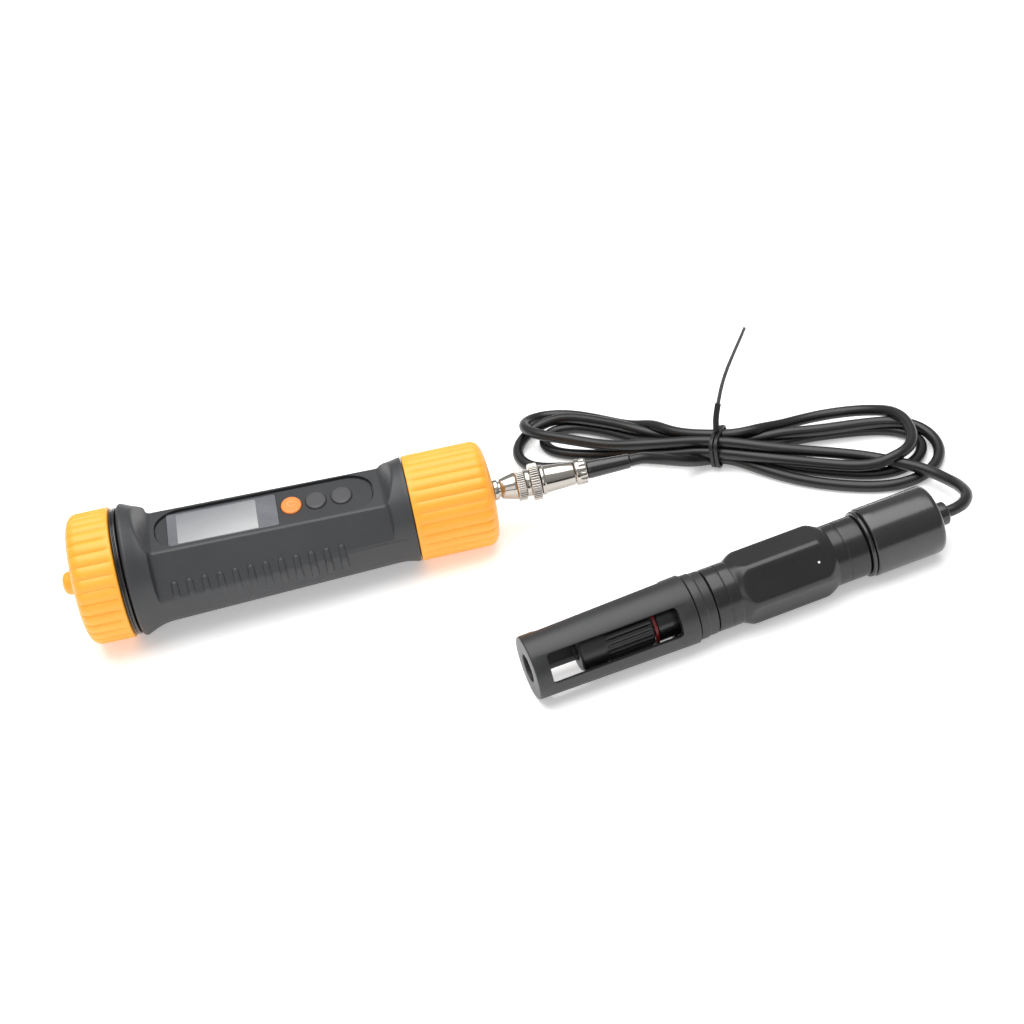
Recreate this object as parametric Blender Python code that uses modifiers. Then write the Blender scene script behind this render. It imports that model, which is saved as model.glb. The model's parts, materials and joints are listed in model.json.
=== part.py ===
"""Hand-held dissolved oxygen meter with its lead and its slotted electrode.

Lengths are in millimetres until MM turns them into metres. +Z is up, +X runs along the
electrode towards its cable gland, and the origin is on the surface the set lies on.
"""
from math import atan2, cos, degrees, pi, radians, sin

import bmesh
import bpy
from mathutils import Euler, Matrix, Vector

MM = 0.001
GAP = 0.3

# Where the two instruments lie
METER_START = (-131.2, 56.1)
METER_YAW = -9.7
FLANGE_STATION = 4.3
FLANGE_RADIUS = 26.0
COLLAR_RADIUS = 20.6
COLLAR_START = 113.6
COLLAR_END = 141.7
METER_PITCH = degrees((FLANGE_RADIUS - COLLAR_RADIUS) / (COLLAR_END - FLANGE_STATION))
ELECTRODE_START = (-10.8, -69.4)
ELECTRODE_ROLL = -5.0
WINDOW_ANGLE = 22.0

# Meter
CAP_RADIUS = 25.6
CAP_SHOULDER = -14.2
NECK_RADIUS = 20.6
NECK_START = -12.6
WAIST_RADIUS = 22.7
BODY_END_RADIUS = 19.6
COLLAR_NECK_RADIUS = 17.9
COLLAR_NECK_END = 129.0
WALL = 2.6
SIDE_START = 12.4
SIDE_END = 106.0
SIDE_LEAN = 25.0
SIDE_LOW = 19.3
SIDE_HIGH = 18.0
FACE_CENTRE = 58.0
FACE_HEIGHT = 13.8
FACE_LENGTH = 94.0
FACE_TILT = 1.1
PANEL_LENGTH = 84.4
PANEL_WIDTH = 24.6
PANEL_THICK = 1.0
GLASS_START = 20.5
GLASS_END = 63.1
GLASS_WIDTH = 21.8
SCREEN_START = 24.2
SCREEN_END = 55.2
BUTTON_STATIONS = {"power_button": 68.7, "cal_button": 78.3, "mode_button": 88.3}
BUTTON_SIZE = (8.0, 11.2)
BUTTON_PROUD = 0.7
BUTTON_TRAVEL = 0.6
CELL_RADIUS = 10.0
CELL_THICK = 3.2
CELL_COUNT = 4

# Electrode
GUARD_FRONT_RADIUS = 11.8
GUARD_REAR_RADIUS = 12.8
GUARD_BORE = 9.95
GUARD_MOUTH = 5.2
GUARD_LENGTH = 61.8
WINDOW_START = 5.6
WINDOW_END = 55.2
WINDOW_WIDTH = 11.3
HEX_START = 79.2
HEX_END = 117.0
HEX_APOTHEM = 12.3
REAR_START = 132.0
REAR_END = 159.6
REAR_RADIUS = 12.9
GLAND_END = 165.4

# Lead
CABLE_DIAMETER = 4.5
BOOT_END = 200.5
HANK_LOW = 1.7
HANK_HIGH = 13.1
WAIST = (105.0, 26.5)
WAIST_DIRECTION = (0.79, -0.613)
WAIST_HALF = 6.6
TIE_WIDTH = 2.8
TIE_THICK = 1.2
TAIL_DIAMETER = 1.9
# Route points: the run from the plug, the run back from the gland as steps away from it,
# the hank's two lobes seen from above, and the tie's free tail.
LEAD_IN = [(78.1, 19.8, 14.6), (85.1, 18.8, 9.6), (90.6, 19.6, 6.6), (94.3, 20.6, 5.6)]
LEAD_OUT = [(0, 0, 0), (3.2, 0.1, 0), (7.6, 2.2, -0.4), (11.4, 6.8, -1.4), (13.8, 13.0, -3.0), (14.6, 20.0, -5.0),
            (14.1, 27.0, -6.6), (13.0, 32.0, -7.3)]
LEFT_LOBE = [(83.1, 56.2), (63.1, 81.2), (48.1, 94.2), (36.1, 90.2), (30.1, 75.2), (37.1, 62.2), (57.1, 53.2), (77.1, 42.2), (89.1, 31.2)]
RIGHT_LOBE = [(117.1, 2.2), (131.1, -15.8), (147.1, -29.8), (162.1, -34.8), (176.1, -29.8), (181.1, -11.8), (177.1, 6.2), (164.1, 20.2), (142.1, 27.2),
              (123.1, 29.2)]
TAIL_ROUTE = [(105.1, 28.2, 20.0), (109.6, 31.2, 28.0), (117.6, 35.7, 37.0), (128.6, 41.7, 46.5)]

ROUND = 36
SMALL_ROUND = 24


def clear_scene():
    for item in list(bpy.data.objects):
        bpy.data.objects.remove(item, do_unlink=True)


def new_collection(name):
    collection = bpy.data.collections.new(name)
    bpy.context.scene.collection.children.link(collection)
    return collection


def new_material(name, colour, roughness, metallic=0.0):
    material = bpy.data.materials.new(name)
    material.use_nodes = True
    shader = material.node_tree.nodes["Principled BSDF"]
    shader.inputs["Base Color"].default_value = (*colour, 1.0)
    shader.inputs["Roughness"].default_value = roughness
    shader.inputs["Metallic"].default_value = metallic
    return material


clear_scene()
PARTS = new_collection("water_quality_probe")
CUTTERS = new_collection("cutters")
MATERIALS = {
    "grey_shell": new_material("grey_shell", (0.075, 0.08, 0.09), 0.5),
    "yellow_cap": new_material("yellow_cap", (0.95, 0.42, 0.02), 0.45),
    "black_plastic": new_material("black_plastic", (0.015, 0.015, 0.016), 0.4),
    "black_rubber": new_material("black_rubber", (0.01, 0.01, 0.01), 0.65),
    "red_rubber": new_material("red_rubber", (0.6, 0.03, 0.02), 0.5),
    "panel_film": new_material("panel_film", (0.02, 0.022, 0.025), 0.35),
    "orange_key": new_material("orange_key", (0.9, 0.22, 0.02), 0.45),
    "grey_key": new_material("grey_key", (0.14, 0.14, 0.15), 0.5),
    "window_glass": new_material("window_glass", (0.5, 0.52, 0.53), 0.1),
    "screen": new_material("screen", (0.4, 0.43, 0.42), 0.3),
    "circuit_board": new_material("circuit_board", (0.02, 0.18, 0.08), 0.5),
    "nickel": new_material("nickel", (0.8, 0.8, 0.8), 0.15, 1.0),
    "steel": new_material("steel", (0.6, 0.6, 0.6), 0.3, 1.0),
    "brass_contact": new_material("brass_contact", (0.85, 0.6, 0.2), 0.25, 1.0),
    "white_plastic": new_material("white_plastic", (0.85, 0.85, 0.83), 0.4),
    "cable": new_material("cable", (0.008, 0.008, 0.008), 0.45),
}


def new_empty(name, location, rotation, parent=None):
    empty = bpy.data.objects.new(name, None)
    PARTS.objects.link(empty)
    empty.location = Vector(location) * MM
    empty.rotation_mode = "QUATERNION"
    empty.rotation_quaternion = rotation.to_quaternion()
    empty.parent = parent
    return empty


def link_object(name, data, parent, material=None):
    item = bpy.data.objects.new(name, data)
    PARTS.objects.link(item)
    item.parent = parent
    if material:
        data.materials.append(MATERIALS[material])
    return item


def hide_cutter(item):
    CUTTERS.objects.link(item)
    PARTS.objects.unlink(item)
    item.display_type = "WIRE"
    item.hide_render = True
    return item


def cut(item, cutter, operation="DIFFERENCE"):
    modifier = item.modifiers.new(cutter.name, "BOOLEAN")
    modifier.operation = operation
    modifier.object = cutter
    modifier.solver = "EXACT"


def turned(name, profile, parent, material=None, sides=ROUND, ring=False):
    """Turns (station, radius) points about the parent's Z axis; a ring's points form a loop."""
    mesh = bpy.data.meshes.new(name)
    shape = bmesh.new()
    points = [shape.verts.new((radius * MM, 0, station * MM)) for station, radius in reversed(profile)]
    for start, end in zip(points, points[1:]):
        shape.edges.new((start, end))
    if ring:
        shape.edges.new((points[-1], points[0]))
    shape.to_mesh(mesh)
    shape.free()
    item = link_object(name, mesh, parent, material)
    screw = item.modifiers.new("turn", "SCREW")
    screw.axis = "Z"
    screw.angle = 2 * pi
    screw.steps = sides
    screw.render_steps = sides
    screw.use_smooth_shade = False
    screw.use_merge_vertices = True
    screw.merge_threshold = 0.00001
    weld = item.modifiers.new("close", "WELD")
    weld.merge_threshold = 0.00001
    return item


def disc(name, start, end, radius, parent, material, sides=SMALL_ROUND):
    return turned(name, [(start, 0), (start, radius), (end, radius), (end, 0)], parent, material, sides)


def tube(name, start, end, inner, outer, parent, material, sides=SMALL_ROUND):
    profile = [(start, inner), (start, outer), (end, outer), (end, inner)]
    return turned(name, profile, parent, material, sides, ring=True)


def box(name, size, centre, parent, material=None):
    bpy.ops.mesh.primitive_cube_add(size=1)
    item = bpy.context.object
    item.name = name
    for collection in list(item.users_collection):
        collection.objects.unlink(item)
    PARTS.objects.link(item)
    item.data.transform(Matrix.Diagonal((*[value * MM for value in size], 1)))
    item.location = Vector(centre) * MM
    item.parent = parent
    if material:
        item.data.materials.append(MATERIALS[material])
    return item


def lofted(name, rings, parent, material=None):
    """Skins a stack of closed sections, each a list of points, and caps both ends."""
    mesh = bpy.data.meshes.new(name)
    shape = bmesh.new()
    rows = [[shape.verts.new(Vector(point) * MM) for point in ring] for ring in rings]
    for low, high in zip(rows, rows[1:]):
        for index in range(len(low)):
            after = (index + 1) % len(low)
            shape.faces.new((low[index], low[after], high[after], high[index]))
    shape.faces.new(list(reversed(rows[0])))
    shape.faces.new(rows[-1])
    shape.to_mesh(mesh)
    shape.free()
    return link_object(name, mesh, parent, material)


def outline_plate(name, outlines, low, thick, parent, material=None):
    """A flat plate from closed outlines in the parent's XY plane; inner outlines are holes."""
    curve = bpy.data.curves.new(name, "CURVE")
    curve.dimensions = "2D"
    curve.fill_mode = "BOTH"
    curve.extrude = thick * MM / 2
    for outline in outlines:
        spline = curve.splines.new("POLY")
        spline.points.add(len(outline) - 1)
        for point, (x, y) in zip(spline.points, outline):
            point.co = (x * MM, y * MM, 0, 1)
        spline.use_cyclic_u = True
    item = link_object(name, curve, parent, material)
    item.location.z = (low + thick / 2) * MM
    return item


def to_mesh(item):
    """Replaces a curve object by a welded mesh object of the same name."""
    bpy.context.view_layer.update()
    graph = bpy.context.evaluated_depsgraph_get()
    mesh = bpy.data.meshes.new_from_object(item.evaluated_get(graph))
    shape = bmesh.new()
    shape.from_mesh(mesh)
    bmesh.ops.remove_doubles(shape, verts=shape.verts, dist=0.000005)
    bmesh.ops.recalc_face_normals(shape, faces=shape.faces)
    shape.to_mesh(mesh)
    shape.free()
    name = item.name
    place = item.matrix_world.copy()
    curve = item.data
    bpy.data.objects.remove(item, do_unlink=True)
    bpy.data.curves.remove(curve)
    solid = bpy.data.objects.new(name, mesh)
    PARTS.objects.link(solid)
    solid.matrix_world = place
    return solid


def ellipse(centre, half_x, half_y, count=22):
    steps = [2 * pi * step / count for step in range(count)]
    return [(centre + half_x * cos(turn), half_y * sin(turn)) for turn in steps]


def rounded_outline(low_x, high_x, half_width, radius, steps=6):
    """A rectangle with rounded corners, symmetric about Y = 0."""
    corners = [(high_x - radius, half_width - radius, 0), (low_x + radius, half_width - radius, 90),
               (low_x + radius, radius - half_width, 180), (high_x - radius, radius - half_width, 270)]
    points = []
    for centre_x, centre_y, start in corners:
        for step in range(steps + 1):
            turn = radians(start + 90 * step / steps)
            points.append((centre_x + radius * cos(turn), centre_y + radius * sin(turn)))
    return points


def smooth_route(points, spacing):
    """Points every so often along a Catmull-Rom curve through the route's own points."""
    knots = [Vector(point) for point in points]
    knots = [2 * knots[0] - knots[1]] + knots + [2 * knots[-1] - knots[-2]]
    dense = []
    for before, start, end, after in zip(knots, knots[1:], knots[2:], knots[3:]):
        for step in range(24):
            t = step / 24
            dense.append(0.5 * (2 * start + (end - before) * t
                                + (2 * before - 5 * start + 4 * end - after) * t ** 2
                                + (3 * start - before - 3 * end + after) * t ** 3))
    dense.append(knots[-2])
    route = [dense[0]]
    travelled = 0.0
    for start, end in zip(dense, dense[1:]):
        travelled += (end - start).length
        if travelled >= spacing:
            route.append(end)
            travelled = 0.0
    if (route[-1] - dense[-1]).length < spacing / 2:
        route.pop()
    return route + [dense[-1]]


def round_wire(name, route, diameter, material):
    curve = bpy.data.curves.new(name, "CURVE")
    curve.dimensions = "3D"
    curve.bevel_depth = diameter * MM / 2
    curve.bevel_resolution = 2
    curve.render_resolution_u = 0
    curve.use_fill_caps = True
    spline = curve.splines.new("POLY")
    spline.points.add(len(route) - 1)
    for point, place in zip(spline.points, route):
        point.co = (*(Vector(place) * MM), 1)
    return link_object(name, curve, None, material)


def scalloped(radius, station, ribs, depth, per_rib=2):
    """A round section whose rim has shallow axial ribs with rounded tops."""
    count = ribs * per_rib
    ring = []
    for step in range(count):
        turn = 2 * pi * step / count
        reach = radius - depth * (1 - abs(cos(ribs * turn / 2)))
        ring.append((reach * cos(turn), reach * sin(turn), station))
    return ring


def place_frames():
    """Empties on both instruments' axes: local Z along the axis and local X up."""
    upright = Matrix(((0, 0, 1), (0, -1, 0), (1, 0, 0)))
    slope = radians(METER_PITCH)
    heading = Euler((0, slope, radians(METER_YAW))).to_matrix()
    height = FLANGE_RADIUS / cos(slope) + FLANGE_STATION * sin(slope)
    meter = new_empty("meter_axis", (*METER_START, height), heading @ upright)
    electrode = new_empty("electrode_axis", (*ELECTRODE_START, REAR_RADIUS), upright)
    tilt = Euler((0, radians(FACE_TILT), 0)).to_matrix()
    face = new_empty("meter_face", (FACE_HEIGHT, 0, FACE_CENTRE), upright.inverted() @ tilt, meter)
    return meter, electrode, face


def make_housing(meter, face):
    outer = [(NECK_START, 0), (NECK_START, NECK_RADIUS - 0.6), (NECK_START + 0.6, NECK_RADIUS),
             (-GAP, NECK_RADIUS), (-GAP, 21.4), (2.6, 21.4), (2.7, 23.6), (3.2, 25.4),
             (FLANGE_STATION, FLANGE_RADIUS), (6.2, 25.2), (8.6, 24.1), (11.0, 23.3),
             (14.0, WAIST_RADIUS), (104.0, BODY_END_RADIUS), (107.5, 19.6), (110.3, 20.1),
             (112.4, COLLAR_RADIUS), (COLLAR_START - GAP, COLLAR_RADIUS),
             (COLLAR_START - GAP, COLLAR_NECK_RADIUS), (COLLAR_NECK_END, COLLAR_NECK_RADIUS), (COLLAR_NECK_END, 0)]
    housing = turned("housing", outer, meter, "grey_shell")
    flat = hide_cutter(box("face_cutter", (FACE_LENGTH, 60, 20), (0, 0, 10), face))
    cut(housing, flat)
    middle = (SIDE_START + SIDE_END) / 2
    taper = (SIDE_HIGH - SIDE_LOW) / (SIDE_END - SIDE_START)
    reach = (SIDE_LOW + SIDE_HIGH) / 2 + 10
    for side in (-1, 1):
        turn = side * (pi / 2 - radians(SIDE_LEAN))
        cutter = box(f"side_cutter_{side}", (20, 60, SIDE_END - SIDE_START), (0, 0, 0), meter)
        cutter.location = Vector((reach * cos(turn), reach * sin(turn), middle)) * MM
        cutter.rotation_euler = (0, taper, turn)
        cut(housing, hide_cutter(cutter))
    bore = [(NECK_START - 5, 0), (NECK_START - 5, 17.2), (COLLAR_START, 17.2 - 1.5), (COLLAR_START, 15.2),
            (COLLAR_NECK_END + 5, 15.2), (COLLAR_NECK_END + 5, 0)]
    hollow = turned("bore_cutter", bore, meter)
    roof = box("roof_cutter", (140, 60, 20), (-17, 0, 10 - WALL - PANEL_THICK), face)
    cut(hollow, hide_cutter(roof))
    cut(housing, hide_cutter(hollow))
    half = PANEL_LENGTH / 2
    recess = rounded_outline(-half - GAP, half + GAP, PANEL_WIDTH / 2 + GAP, PANEL_WIDTH / 2 - 2)
    recess_cutter = outline_plate("recess_cutter", [recess], -PANEL_THICK - GAP, 5, face)
    cut(housing, hide_cutter(to_mesh(recess_cutter)))
    pocket_depth = PANEL_THICK + GAP + BUTTON_TRAVEL + 0.4
    for name, station in BUTTON_STATIONS.items():
        hole = ellipse(station - FACE_CENTRE, BUTTON_SIZE[0] / 2 + GAP, BUTTON_SIZE[1] / 2 + GAP)
        pocket = outline_plate(name + "_pocket", [hole], -pocket_depth, 5, face)
        cut(housing, hide_cutter(to_mesh(pocket)))
    bed = rounded_outline(GLASS_START - FACE_CENTRE, GLASS_END - FACE_CENTRE, GLASS_WIDTH / 2, 1.5)
    bed_cutter = outline_plate("screen_bed", [bed], -PANEL_THICK - 2.2, 5, face)
    cut(housing, hide_cutter(to_mesh(bed_cutter)))


def make_face(face):
    half = PANEL_LENGTH / 2
    glass = (GLASS_START - FACE_CENTRE, GLASS_END - FACE_CENTRE, GLASS_WIDTH / 2)
    rim = rounded_outline(-half, half, PANEL_WIDTH / 2, PANEL_WIDTH / 2 - 2)
    holes = [rounded_outline(glass[0] - GAP, glass[1] + GAP, glass[2] + GAP, 1.8)]
    for station in BUTTON_STATIONS.values():
        holes.append(ellipse(station - FACE_CENTRE, BUTTON_SIZE[0] / 2 + GAP, BUTTON_SIZE[1] / 2 + GAP))
    outline_plate("face_panel", [rim] + holes, -PANEL_THICK, PANEL_THICK - 0.2, face, "panel_film")
    pane = rounded_outline(glass[0], glass[1], glass[2], 1.5)
    outline_plate("display_window", [pane], -PANEL_THICK, PANEL_THICK - 0.1, face, "window_glass")
    screen = rounded_outline(SCREEN_START - FACE_CENTRE, SCREEN_END - FACE_CENTRE, GLASS_WIDTH / 2 - 1, 0.5)
    outline_plate("display_screen", [screen], -PANEL_THICK - 1.9, 1.6, face, "screen")
    for name, station in BUTTON_STATIONS.items():
        along, across = BUTTON_SIZE[0] / 2, BUTTON_SIZE[1] / 2
        centre = station - FACE_CENTRE
        levels = [(-PANEL_THICK, 1.0), (BUTTON_PROUD - 0.35, 1.0), (BUTTON_PROUD, 0.86)]
        rings = [[(x, y, level) for x, y in ellipse(centre, along * size, across * size)] for level, size in levels]
        key = "orange_key" if name == "power_button" else "grey_key"
        lofted(name, rings, face, key)


def make_meter_insides(meter, face):
    box("circuit_board", (78, 22, 1.6), (1, 0, -7.2), face, "circuit_board")
    start = NECK_START + 2.4
    pitch = CELL_THICK + GAP
    length = CELL_COUNT * pitch
    holder = [(start + length, 0), (start + length, CELL_RADIUS + GAP), (start, CELL_RADIUS + GAP), (start, 15.0),
              (start + length + 2, 15.0), (start + length + 2, 0)]
    cup = turned("battery_holder", holder, meter, "black_plastic", SMALL_ROUND)
    cut(cup, hide_cutter(box("holder_flat", (10, 40, 60), (18.4 - 2.6, 0, start + length), meter)))
    for index in range(CELL_COUNT):
        low = start + index * pitch
        disc(f"coin_cell_{index + 1}", low, low + CELL_THICK, CELL_RADIUS, meter, "steel")
    disc("battery_contact", start - 1.3, start - GAP, 8.5, meter, "brass_contact")


def make_battery_cap(meter):
    """Screw cap with a scalloped rim, a domed end and a lanyard nub on its axis."""
    ribs, depth = 32, 0.55
    rim = [(-GAP, CAP_RADIUS - 0.5), (-GAP - 0.5, CAP_RADIUS), (CAP_SHOULDER, CAP_RADIUS - 0.1),
           (-15.9, 24.2), (-17.2, 21.0)]
    rings = [scalloped(radius, station, ribs, depth) for station, radius in reversed(rim)]
    cap = lofted("battery_cap", rings, meter, "yellow_cap")
    dome = [(-23.3, 0), (-23.3, 2.2), (-22.7, 3.6), (-21.5, 4.4), (-19.6, 4.6), (-18.6, 7.0), (-18.2, 12.0),
            (-17.2, 18.6), (-16.6, 18.6), (-16.6, 0)]
    cut(cap, hide_cutter(turned("nub", dome, meter)), "UNION")
    hollow = [(NECK_START - 1.6, 0), (NECK_START - 1.6, 19.2), (NECK_START - 0.6, NECK_RADIUS + GAP),
              (2.0, NECK_RADIUS + GAP), (2.0, 0)]
    cut(cap, hide_cutter(turned("cap_hollow", hollow, meter)))
    tube("battery_cap_seal", 0.1, 2.4, 21.7, 24.7, meter, "black_rubber", ROUND)


def make_sensor_collar(meter):
    ribs, depth = 28, 0.5
    rim = [(COLLAR_START, COLLAR_RADIUS - 0.4), (COLLAR_START + 0.6, COLLAR_RADIUS),
           (COLLAR_END - 0.4, COLLAR_RADIUS), (COLLAR_END + 1.6, 19.6), (COLLAR_END + 3.0, 17.4)]
    collar = lofted("sensor_collar", [scalloped(radius, station, ribs, depth) for station, radius in rim],
                    meter, "yellow_cap")
    nose = [(COLLAR_END, 0), (COLLAR_END, 15.5), (COLLAR_END + 3.0, 15.5), (COLLAR_END + 4.3, 11.0),
            (COLLAR_END + 4.3, 0)]
    cut(collar, hide_cutter(turned("collar_nose", nose, meter)), "UNION")
    hollow = [(COLLAR_START - 3, 0), (COLLAR_START - 3, COLLAR_NECK_RADIUS + GAP),
              (COLLAR_END, COLLAR_NECK_RADIUS + GAP), (COLLAR_END, 4.4), (COLLAR_END + 10, 4.4), (COLLAR_END + 10, 0)]
    cut(collar, hide_cutter(turned("collar_hollow", hollow, meter)))
    module = [(112.0, 0), (112.0, 14.9), (COLLAR_NECK_END + GAP, 14.9), (COLLAR_NECK_END + GAP, COLLAR_NECK_RADIUS),
              (COLLAR_END - GAP, COLLAR_NECK_RADIUS), (COLLAR_END - GAP, 4.1), (COLLAR_END + 4.4, 4.1),
              (COLLAR_END + 4.4, 2.4), (COLLAR_END - 4.0, 2.4), (COLLAR_END - 4.0, 0)]
    turned("sensor_module", module, meter, "black_plastic", SMALL_ROUND)


def make_connector(meter):
    tube("jack_barrel", 146.4, 157.6, 2.2, 3.0, meter, "nickel", SMALL_ROUND)
    tube("jack_nut", 146.4, 148.2, 3.3, 3.9, meter, "nickel", SMALL_ROUND)
    ring = [(148.9, 3.4), (148.9, 4.0), (155.3, 5.4), (155.5, 6.0), (158.8, 6.0), (158.9, 5.3), (160.6, 5.3),
            (160.8, 7.0), (161.2, 7.35), (164.2, 7.35), (164.6, 7.0), (164.6, 5.2), (157.7, 5.2), (157.7, 3.4)]
    turned("bayonet_ring", ring, meter, "nickel", SMALL_ROUND, ring=True)
    body = [(158.0, 0), (158.0, 4.6), (164.9, 4.6), (164.9, 5.9), (166.0, 5.9), (166.4, 5.4), (178.4, 4.5), (178.4, 0)]
    turned("plug_body", body, meter, "nickel", SMALL_ROUND)
    nut = [(178.7, 0), (178.7, 4.5), (179.2, 5.0), (182.8, 5.0), (183.4, 4.4), (183.4, 0)]
    turned("plug_nut", nut, meter, "nickel", SMALL_ROUND)
    disc("jack_insulator", 150.0, 156.0, 1.9, meter, "white_plastic", 16)
    boot = [(183.7, 0), (183.7, 3.4), (185.0, 3.4), (BOOT_END, 2.8), (BOOT_END, 0)]
    turned("plug_boot", boot, meter, "black_rubber", 24)


def make_guard(electrode):
    """Slotted sleeve over the membrane, open at the front, with three long windows."""
    profile = [(0, GUARD_MOUTH), (0, GUARD_FRONT_RADIUS - 0.6), (0.6, GUARD_FRONT_RADIUS),
               (GUARD_LENGTH, GUARD_REAR_RADIUS), (GUARD_LENGTH, GUARD_BORE), (3.0, GUARD_BORE), (3.0, GUARD_MOUTH)]
    guard = turned("guard", profile, electrode, "black_plastic", ROUND, ring=True)
    for index in range(3):
        turn = radians(90 - WINDOW_ANGLE + 120 * index)
        length = WINDOW_END - WINDOW_START
        window = box(f"window_cutter_{index + 1}", (14, WINDOW_WIDTH, length), (0, 0, 0), electrode)
        bevel = window.modifiers.new("corners", "BEVEL")
        bevel.width = 1.2 * MM
        bevel.segments = 2
        window.location = Vector((12 * cos(turn), 12 * sin(turn), WINDOW_START + length / 2)) * MM
        window.rotation_euler = (0, 0, turn)
        cut(guard, hide_cutter(window))
    collar = [(62.1, 9.5), (62.1, 11.6), (62.5, 12.0), (65.6, 12.0), (66.0, 11.7), (69.0, 11.7), (69.3, 11.4),
              (69.3, 9.5)]
    turned("guard_nut", collar, electrode, "black_plastic", ROUND, ring=True)


def make_cell(electrode):
    cap = [(18.1, 3.4), (18.1, 7.2), (18.9, 8.0), (27.6, 8.1), (28.0, 7.8), (45.6, 7.8), (46.0, 7.4), (46.0, 6.2),
           (21.0, 6.2), (21.0, 5.6), (19.4, 5.6), (19.4, 3.4)]
    cap = turned("membrane_cap", cap, electrode, "black_plastic", ROUND, ring=True)
    disc("membrane", 19.7, 20.3, 5.3, electrode, "white_plastic", 16)
    disc("cathode", 20.8, 21.6, 2.4, electrode, "brass_contact", 16)
    core = [(21.9, 0), (21.9, 4.2), (47.0, 4.2), (47.0, 0)]
    turned("electrode_core", core, electrode, "white_plastic", 16)
    tube("anode", 28.0, 42.0, 4.5, 5.5, electrode, "steel", 16)
    tube("membrane_seal", 46.3, 47.6, 6.6, 8.4, electrode, "red_rubber", SMALL_ROUND)


def make_grip(electrode):
    """Body of the electrode: stem, hexagonal grip with chamfered ends, and two necks."""
    turn_profile = [(47.9, 0), (47.9, 7.5), (56.0, 7.5), (56.0, 9.2), (69.6, 9.2), (69.6, 11.3), (70.2, 11.6),
                    (HEX_START, 11.6), (HEX_END, 11.4), (129.8, 11.4), (129.8, 10.6), (131.6, 10.6), (131.6, 0)]
    body = turned("electrode_body", turn_profile, electrode, "black_plastic", ROUND)
    corner = HEX_APOTHEM / cos(pi / 6)
    bpy.ops.mesh.primitive_cylinder_add(vertices=6, radius=corner * MM, depth=(HEX_END - HEX_START) * MM)
    prism = bpy.context.object
    prism.name = "hex_prism"
    for collection in list(prism.users_collection):
        collection.objects.unlink(prism)
    PARTS.objects.link(prism)
    prism.parent = electrode
    prism.location.z = (HEX_START + HEX_END) / 2 * MM
    prism.rotation_euler = (0, 0, radians(ELECTRODE_ROLL))
    chamfer = [(HEX_START - 1, 0), (HEX_START - 1, 11.4), (HEX_START + 0.2, 11.9), (HEX_START + 5.0, corner + 0.1),
               (HEX_END - 5.0, corner + 0.1), (HEX_END - 0.2, 11.9), (HEX_END + 1, 11.2), (HEX_END + 1, 0)]
    cut(prism, hide_cutter(turned("hex_chamfer", chamfer, electrode)), "INTERSECT")
    cut(body, hide_cutter(prism), "UNION")
    tube("rear_seal", 130.1, 131.6, 10.9, 12.5, electrode, "black_rubber", ROUND)
    rear = [(REAR_START, 0), (REAR_START, 12.5), (REAR_START + 0.5, REAR_RADIUS), (REAR_END - 1.8, REAR_RADIUS),
            (REAR_END - 0.6, 12.4), (REAR_END, 11.2), (REAR_END, 0)]
    turned("rear_cap", rear, electrode, "black_plastic", ROUND)
    gland = [(REAR_END + GAP, 0), (REAR_END + GAP, 4.4), (GLAND_END - 0.8, 4.4), (GLAND_END, 3.8), (GLAND_END, 0)]
    turned("cable_gland", gland, electrode, "black_plastic", 24)


def make_lead(meter):
    """The free cable: a run to the tied hank, the hank, and a run to the electrode."""
    boot = meter.matrix_basis @ Vector((0, 0, (BOOT_END + 2 * GAP) * MM)) / MM
    heading = (meter.matrix_basis.to_3x3() @ Vector((0, 0, 1))).normalized()
    lead_in = [boot, boot + 5 * heading] + LEAD_IN
    spacing = 2.2 * CABLE_DIAMETER
    round_wire("cable_to_meter", smooth_route(lead_in, spacing), CABLE_DIAMETER, "cable")
    gland = Vector((ELECTRODE_START[0] + GLAND_END + GAP, ELECTRODE_START[1], REAR_RADIUS))
    lead_out = [gland + Vector(step) for step in LEAD_OUT]
    round_wire("cable_to_electrode", smooth_route(lead_out, spacing * 0.5), CABLE_DIAMETER, "cable")
    across = Vector((-WAIST_DIRECTION[1], WAIST_DIRECTION[0]))
    along = Vector(WAIST_DIRECTION)
    waist = Vector(WAIST)
    top = [waist + across * WAIST_HALF + along * step for step in (5, 0, -5)]
    bottom = [waist - across * WAIST_HALF + along * step for step in (-5, 0, 5)]
    rim = [(point[0], point[1], 0) for point in top + LEFT_LOBE + bottom + RIGHT_LOBE]
    dense = smooth_route(rim + [rim[0]], 6.0)[:-1]
    hank = outline_plate("cable_hank", [[(point.x, point.y) for point in dense]], HANK_LOW, HANK_HIGH - HANK_LOW,
                         None, "cable")
    hank.location.z = (HANK_LOW + HANK_HIGH) / 2 * MM


def make_tie():
    """A band around the hank's waist, and the free tail that stands up from it."""
    half_y = WAIST_HALF + 3 * GAP
    high = HANK_HIGH - HANK_LOW + 2 * GAP
    centre_z = (HANK_LOW + HANK_HIGH) / 2
    turn = atan2(WAIST_DIRECTION[1], WAIST_DIRECTION[0])
    upright = Euler((0, 0, turn)).to_matrix() @ Matrix(((0, 0, 1), (1, 0, 0), (0, 1, 0)))
    waist = new_empty("tie_frame", (*WAIST, centre_z), upright)
    outer = rounded_rectangle(half_y + TIE_THICK, high / 2 + TIE_THICK, 1.6)
    inner = rounded_rectangle(half_y, high / 2, 0.4)
    outline_plate("cable_tie", [outer, inner], -TIE_WIDTH / 2, TIE_WIDTH, waist, "black_plastic")
    top = centre_z + high / 2 + TIE_THICK + GAP + TAIL_DIAMETER / 2
    tail = [(*WAIST, top)] + TAIL_ROUTE
    round_wire("cable_tie_tail", smooth_route(tail, 3.0), TAIL_DIAMETER, "black_plastic")


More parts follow.
